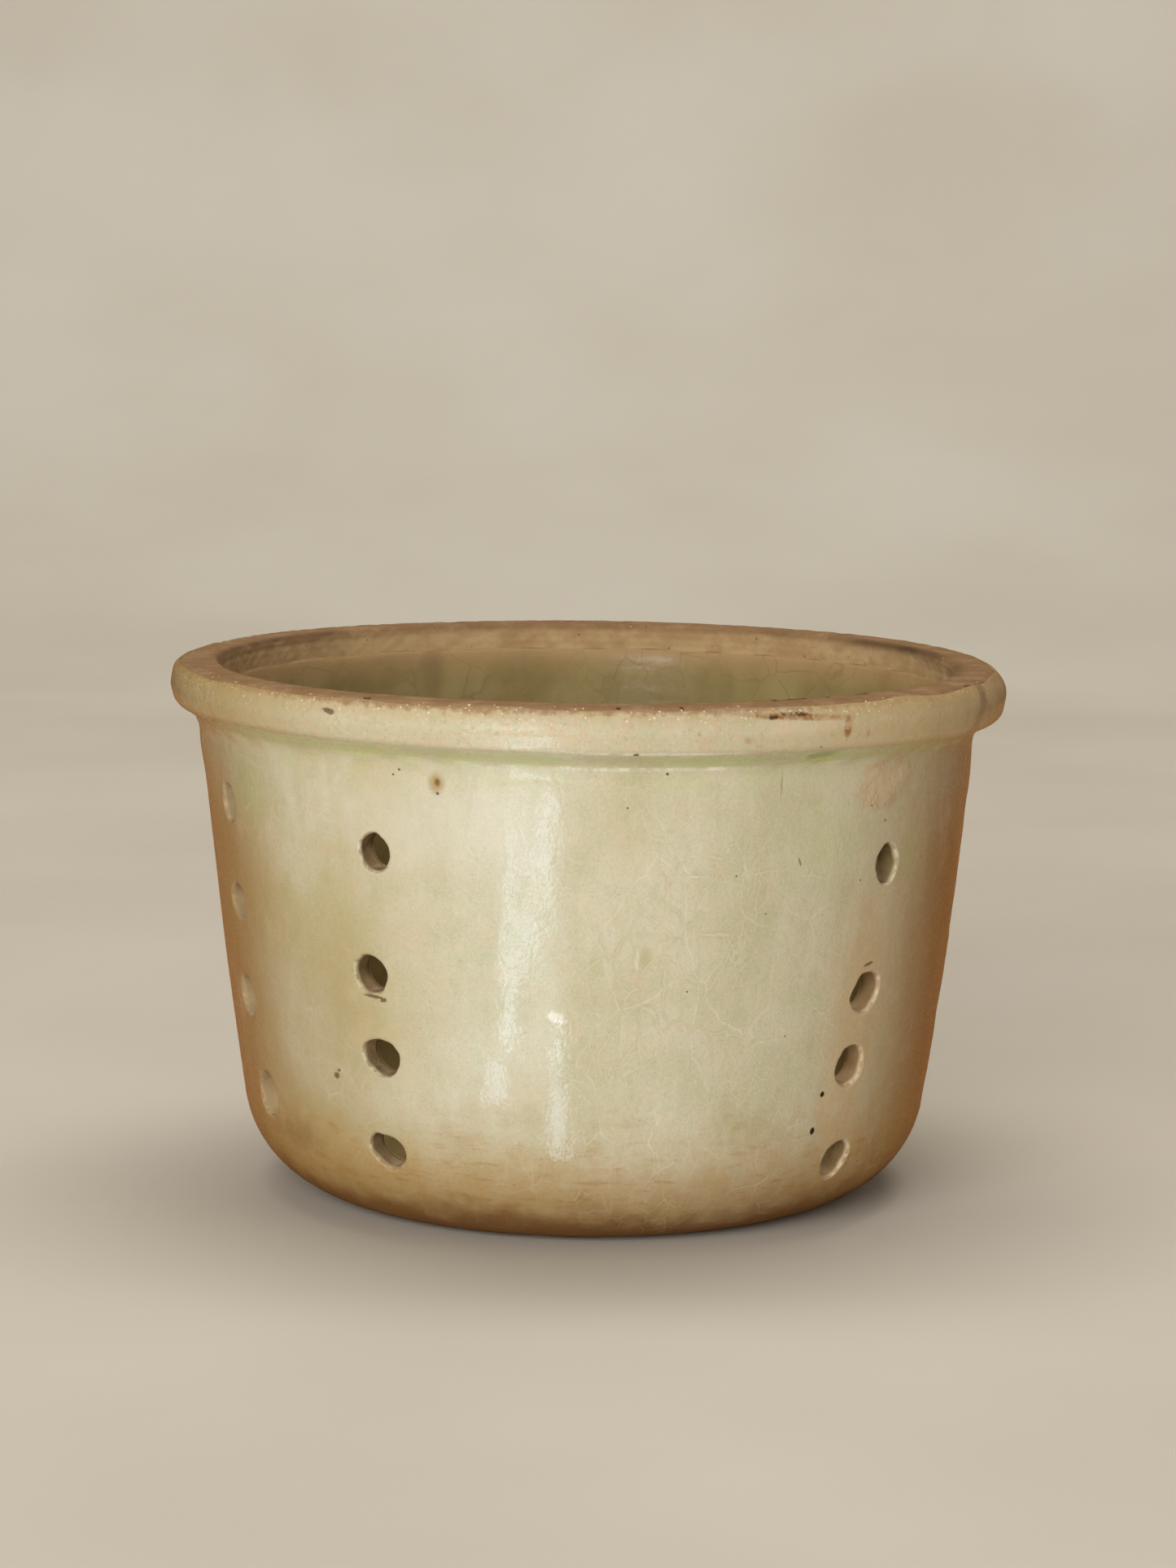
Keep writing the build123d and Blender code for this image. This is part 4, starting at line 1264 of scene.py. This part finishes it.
def bare_clay():
    n = Net("bare_stoneware")
    z, deg = n.z, n.deg
    grain = n.noise(0.55, 5, 0.65)
    streak = n.noise(0.10, 4, 0.6, at=(4, 8, 2))
    col = n.mix(n.ramp(streak, 0.36, 0.64), srgb(142, 113, 78), srgb(166, 137, 102))
    col = n.mix(n.mul(n.ramp(grain, 0.35, 0.62), 0.5), col, srgb(134, 106, 74))
    # lip: handled and stained; the darker ring at its inner edge is a painted shadow line, strongest along the back
    # right
    lip = n.ramp(z, 124.0, 126.4)
    col = n.mix(n.mul(lip, n.ramp(n.mid, 0.34, 0.62, 0.25, 0.75)), col, srgb(128, 96, 62))
    lip_inner_shadow = n.mul(n.ramp(n.add(n.r, n.mul(n.sub(n.mid, 0.5), 3.0)), 91.5, 88.4), n.ramp(z, 123.5, 125.5))
    arc = n.add(n.ramp(n.noise(0.03, 2, 0.5, at=(1, 2, 3)), 0.45, 0.6, 0.15, 0.75), n.spot(117.0, 126.0, 24.0, 6.0, soft=0.6))
    col = n.mix(n.op("MULTIPLY", lip_inner_shadow, n.mul(arc, 0.7), clamp=True), col, srgb(84, 62, 42))
    band = n.mul(n.ramp(z, 118.0, 120.6), n.ramp(z, 126.2, 124.0))
    band = n.mul(band, n.ramp(n.r, 93.0, 90.0))
    col = n.mix(n.mul(band, 0.75), col, n.mix(n.ramp(n.mid, 0.38, 0.62), srgb(173, 142, 101), srgb(191, 162, 118)))
    col = n.mix(n.mul(n.ramp(n.bore, 0.2, 0.9), 0.5), col, srgb(112, 86, 58))
    # slivers chipped off the lip's inner edge, on the right, painted near-black: painted shade in the chips
    for d0, w in ((30.8, 2.6), (43.0, 2.0), (36.2, .8), (27.0, .7)):
        m = n.spot(d0, 126.5, w, 1.0, soft=0.6, rag=1.2, rag_noise=grain)
        m = n.mul(m, n.ramp(n.r, 91.2, 89.6))
        col = n.mix(n.mul(m, 0.9), col, srgb(44, 32, 22))
    # nicks on the lip's outer edge, painted dark: painted shade in the nicks
    for d0, w in ((-30.3, 1.1), (3.8, .5), (12.0, .4), (64.0, 2.0)):
        m = n.mul(n.spot(d0, 126.6, w, 1.2, soft=0.6, rag=1.2, rag_noise=grain), n.ramp(n.r, 95.6, 96.8))
        col = n.mix(n.mul(m, 0.85), col, srgb(52, 38, 26))
    col = n.mix(n.mul(n.specks(0.35, 0.24, 0.5), 0.6), col, srgb(74, 52, 32))
    col = n.mix(n.mul(n.specks(0.45, 0.20, 0.45, at=(3, 3, 3)), 0.6), col, srgb(206, 184, 148))
    # glassy flecks where glaze was wiped away
    fleck = n.mul(n.specks(0.7, 0.26, 0.5, at=(9, 1, 4)), n.mul(n.ramp(n.r, 94.5, 96.8), lip))
    col = n.mix(n.mul(fleck, 0.8), col, srgb(228, 214, 180))
    rough = n.sub(n.ramp(grain, 0.3, 0.7, 0.58, 0.80), n.mul(fleck, 0.45))
    h = n.add(n.mul(grain, 0.14), n.mul(n.noise(1.6, 3, 0.6), 0.06))
    h = n.sub(h, n.mul(n.specks(0.35, 0.24, 0.5), 0.10))
    return n.finish(col, rough, bump=h, spec=0.35)


MATS = {"celadon_glaze": celadon(), "inner_glaze": inside_glaze(), "bare_stoneware": bare_clay()}
for ob, node, slot in PIECES:
    ob.data.materials.append(MATS[slot])
for node, slot in {p[1]: p[2] for p in PIECES}.items():
    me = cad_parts[node].data
    me.materials.clear()
    me.materials.append(MATS[slot])

for ob, node, slot in PIECES:
    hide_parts(node)
    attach(ob, "root")

# ----------------------------------------------------------------- the setting
def backdrop():
    """Pale floor that sweeps up behind the pot."""
    prof = [(-2.6, 0.0), (-1.2, 0.0), (-0.4, 0.0), (0.0, 0.0), (0.4, 0.0), (1.0, 0.0)]
    for a in np.linspace(0, math.pi / 2, 15)[1:]:
        prof.append((1.0 + 0.9 * math.sin(a), 0.9 - 0.9 * math.cos(a)))
    prof.append((1.9, 3.2))
    xs = np.linspace(-3.2, 3.2, 9)
    verts = [(x, y, z - 0.00005) for y, z in prof for x in xs]
    n = len(xs)
    faces = [(j * n + i, j * n + i + 1, (j + 1) * n + i + 1, (j + 1) * n + i)
             for j in range(len(prof) - 1) for i in range(n - 1)]
    me = bpy.data.meshes.new("floor")
    me.from_pydata(verts, [], faces)
    me.shade_smooth()
    ob = bpy.data.objects.new("floor", me)
    bpy.context.scene.collection.objects.link(ob)
    n2 = Net("pale_floor")
    col = n2.mix(n2.ramp(n2.noise(0.004, 3, 0.5), 0.3, 0.7), srgb(196, 189, 176), srgb(204, 198, 186))
    ob.data.materials.append(n2.finish(col, 0.75, spec=0.25, bump=n2.mul(n2.noise(0.5, 3, 0.5), 0.02)))
    return ob


backdrop()


def area(name, at, aim, size, energy, colour=(1, 1, 1)):
    d = bpy.data.lights.new(name, "AREA")
    d.shape, d.size, d.size_y = "RECTANGLE", size[0], size[1]
    d.energy, d.color = energy, colour
    ob = bpy.data.objects.new(name, d)
    bpy.context.scene.collection.objects.link(ob)
    ob.location = at
    ob.rotation_euler = (Vector(aim) - Vector(at)).to_track_quat("-Z", "Y").to_euler()
    ob.visible_camera = False
    return ob


key = area("window", (-0.55, -1.6, 0.55), (0, 0, 0.06), (1.2, 0.9), 28.0, (1.0, 0.985, 0.965))
key.visible_glossy = False
area("fill", (1.5, -0.9, 0.8), (0, 0, 0.06), (1.0, 1.0), 2.2, (1.0, 0.88, 0.74)).visible_glossy = False
area("top", (0.1, 0.35, 1.6), (0, 0.05, 0.0), (1.3, 1.3), 7.0, (1.0, 0.94, 0.86)).visible_glossy = False


def pane(name, near, far, wide, radiance):
    """A low strip of window light seen only in the glaze, from near the pot's foot
    out to far, on one sloping plane facing the pot; near and far are (x, y)."""
    def on_plane(p):
        return Vector((p[0], p[1], 0.002 + 0.363 * (-0.116 - p[1])))
    a, b = on_plane(near), on_plane(far)
    h = (b - a).length
    ob = area(name, (0, 0, 0), (0, 0, -1), (wide, h), radiance * math.pi * wide * h, (0.72, 0.95, 1.15))
    along = (b - a) / h
    face = Vector((0, 0.363, 1)).normalized()
    right = along.cross(face).normalized()
    m = Matrix((right, along, face)).transposed().to_4x4()
    m = m @ Matrix.Rotation(math.pi, 4, "Y")
    m.translation = (a + b) / 2
    ob.matrix_world = m
    ob.visible_diffuse = False
    return ob


pane("pane_left", (-0.0480, -0.150), (-0.0740, -0.250), 0.0085, 6.2)
pane("pane_left_low", (-0.0470, -0.128), (-0.0530, -0.142), 0.0090, 5.0)
pane("pane_right", (-0.0460, -0.178), (-0.0360, -0.250), 0.0130, 5.0)
pane("pane_thread", (-0.0145, -0.146), (-0.0165, -0.161), 0.0050, 6.5)
pane("pane_right_low", (-0.0115, -0.117), (-0.0135, -0.141), 0.0090, 4.0)
pane("pane_patch", (-0.1080, -0.222), (-0.1180, -0.250), 0.0140, 2.4)
pane("pane_far", (-0.0500, -0.117), (-0.0700, -0.262), 0.0800, 0.75)
# the same window seen directly, for the lip's flecks and the inside of the far rim
sky = area("sky", (-0.62, -1.55, 0.30), (0, 0, 0.12), (0.42, 0.34), 3.4 * math.pi * 0.42 * 0.34, (0.86, 0.96, 1.05))
sky.visible_diffuse = False

# brown cards either side, and a brown board below and behind: out of shot, they keep
# the pot's edges and heel from reflecting the pale floor
card = bpy.data.materials.new("card")
card.use_nodes = True
card.node_tree.nodes["Principled BSDF"].inputs["Base Color"].default_value = srgb(126, 88, 54)
card.node_tree.nodes["Principled BSDF"].inputs["Roughness"].default_value = 0.9
board = bpy.data.materials.new("board")
board.use_nodes = True
board.node_tree.nodes["Principled BSDF"].inputs["Base Color"].default_value = srgb(150, 100, 56)
board.node_tree.nodes["Principled BSDF"].inputs["Roughness"].default_value = 0.9


def panel(name, corners, mat):
    me = bpy.data.meshes.new(name)
    me.from_pydata(corners, [], [(0, 1, 2, 3)])
    ob = bpy.data.objects.new(name, me)
    bpy.context.scene.collection.objects.link(ob)
    me.materials.append(mat)
    ob.visible_camera = False
    ob.visible_shadow = False
    ob.visible_diffuse = False


for side, name in ((-1, "card_left"), (1, "card_right")):
    panel(name, [(side * 0.33, -0.30, 0.03), (side * 0.36, 1.0, 0.03), (side * 0.36, 1.0, 0.6), (side * 0.33, -0.30, 0.6)],
          card)
panel("board_below", [(-0.9, -0.9, 0.0008), (0.9, -0.9, 0.0008), (0.9, 0.97, 0.0008), (-0.9, 0.97, 0.0008)], board)
panel("board_behind", [(-0.9, 0.97, 0.0), (0.9, 0.97, 0.0), (0.9, 0.97, 0.85), (-0.9, 0.97, 0.85)], card)

area("sweep", (0.0, 0.5, 2.4), (0, 1.7, 0.5), (2.4, 1.0), 26.0, (1.0, 0.97, 0.93)).visible_glossy = False

world = bpy.data.worlds.new("studio")
bpy.context.scene.world = world
world.use_nodes = True
world.node_tree.nodes["Background"].inputs[0].default_value = (0.95, 0.90, 0.82, 1)
world.node_tree.nodes["Background"].inputs[1].default_value = 0.23

cam = bpy.data.cameras.new("camera")
cam.sensor_width, cam.lens = 36.0, 36.0 * 4998.9 / 1927.0
cam.clip_start, cam.clip_end = 0.05, 50.0
co = bpy.data.objects.new("camera", cam)
bpy.context.scene.collection.objects.link(co)
PITCH, ROLL = 0.13703, 0.011757
fw = Vector((0, math.cos(PITCH), -math.sin(PITCH)))
rt = Vector((1, 0, 0))
up = rt.cross(fw)
rt2 = rt * math.cos(ROLL) + up * math.sin(ROLL)
up2 = up * math.cos(ROLL) - rt * math.sin(ROLL)
M = Matrix((rt2, up2, -fw)).transposed().to_4x4()
M.translation = Vector((0.0000886, -0.97139, 0.23056))
co.matrix_world = M
bpy.context.scene.camera = co
bpy.context.scene.view_settings.view_transform = "Standard"
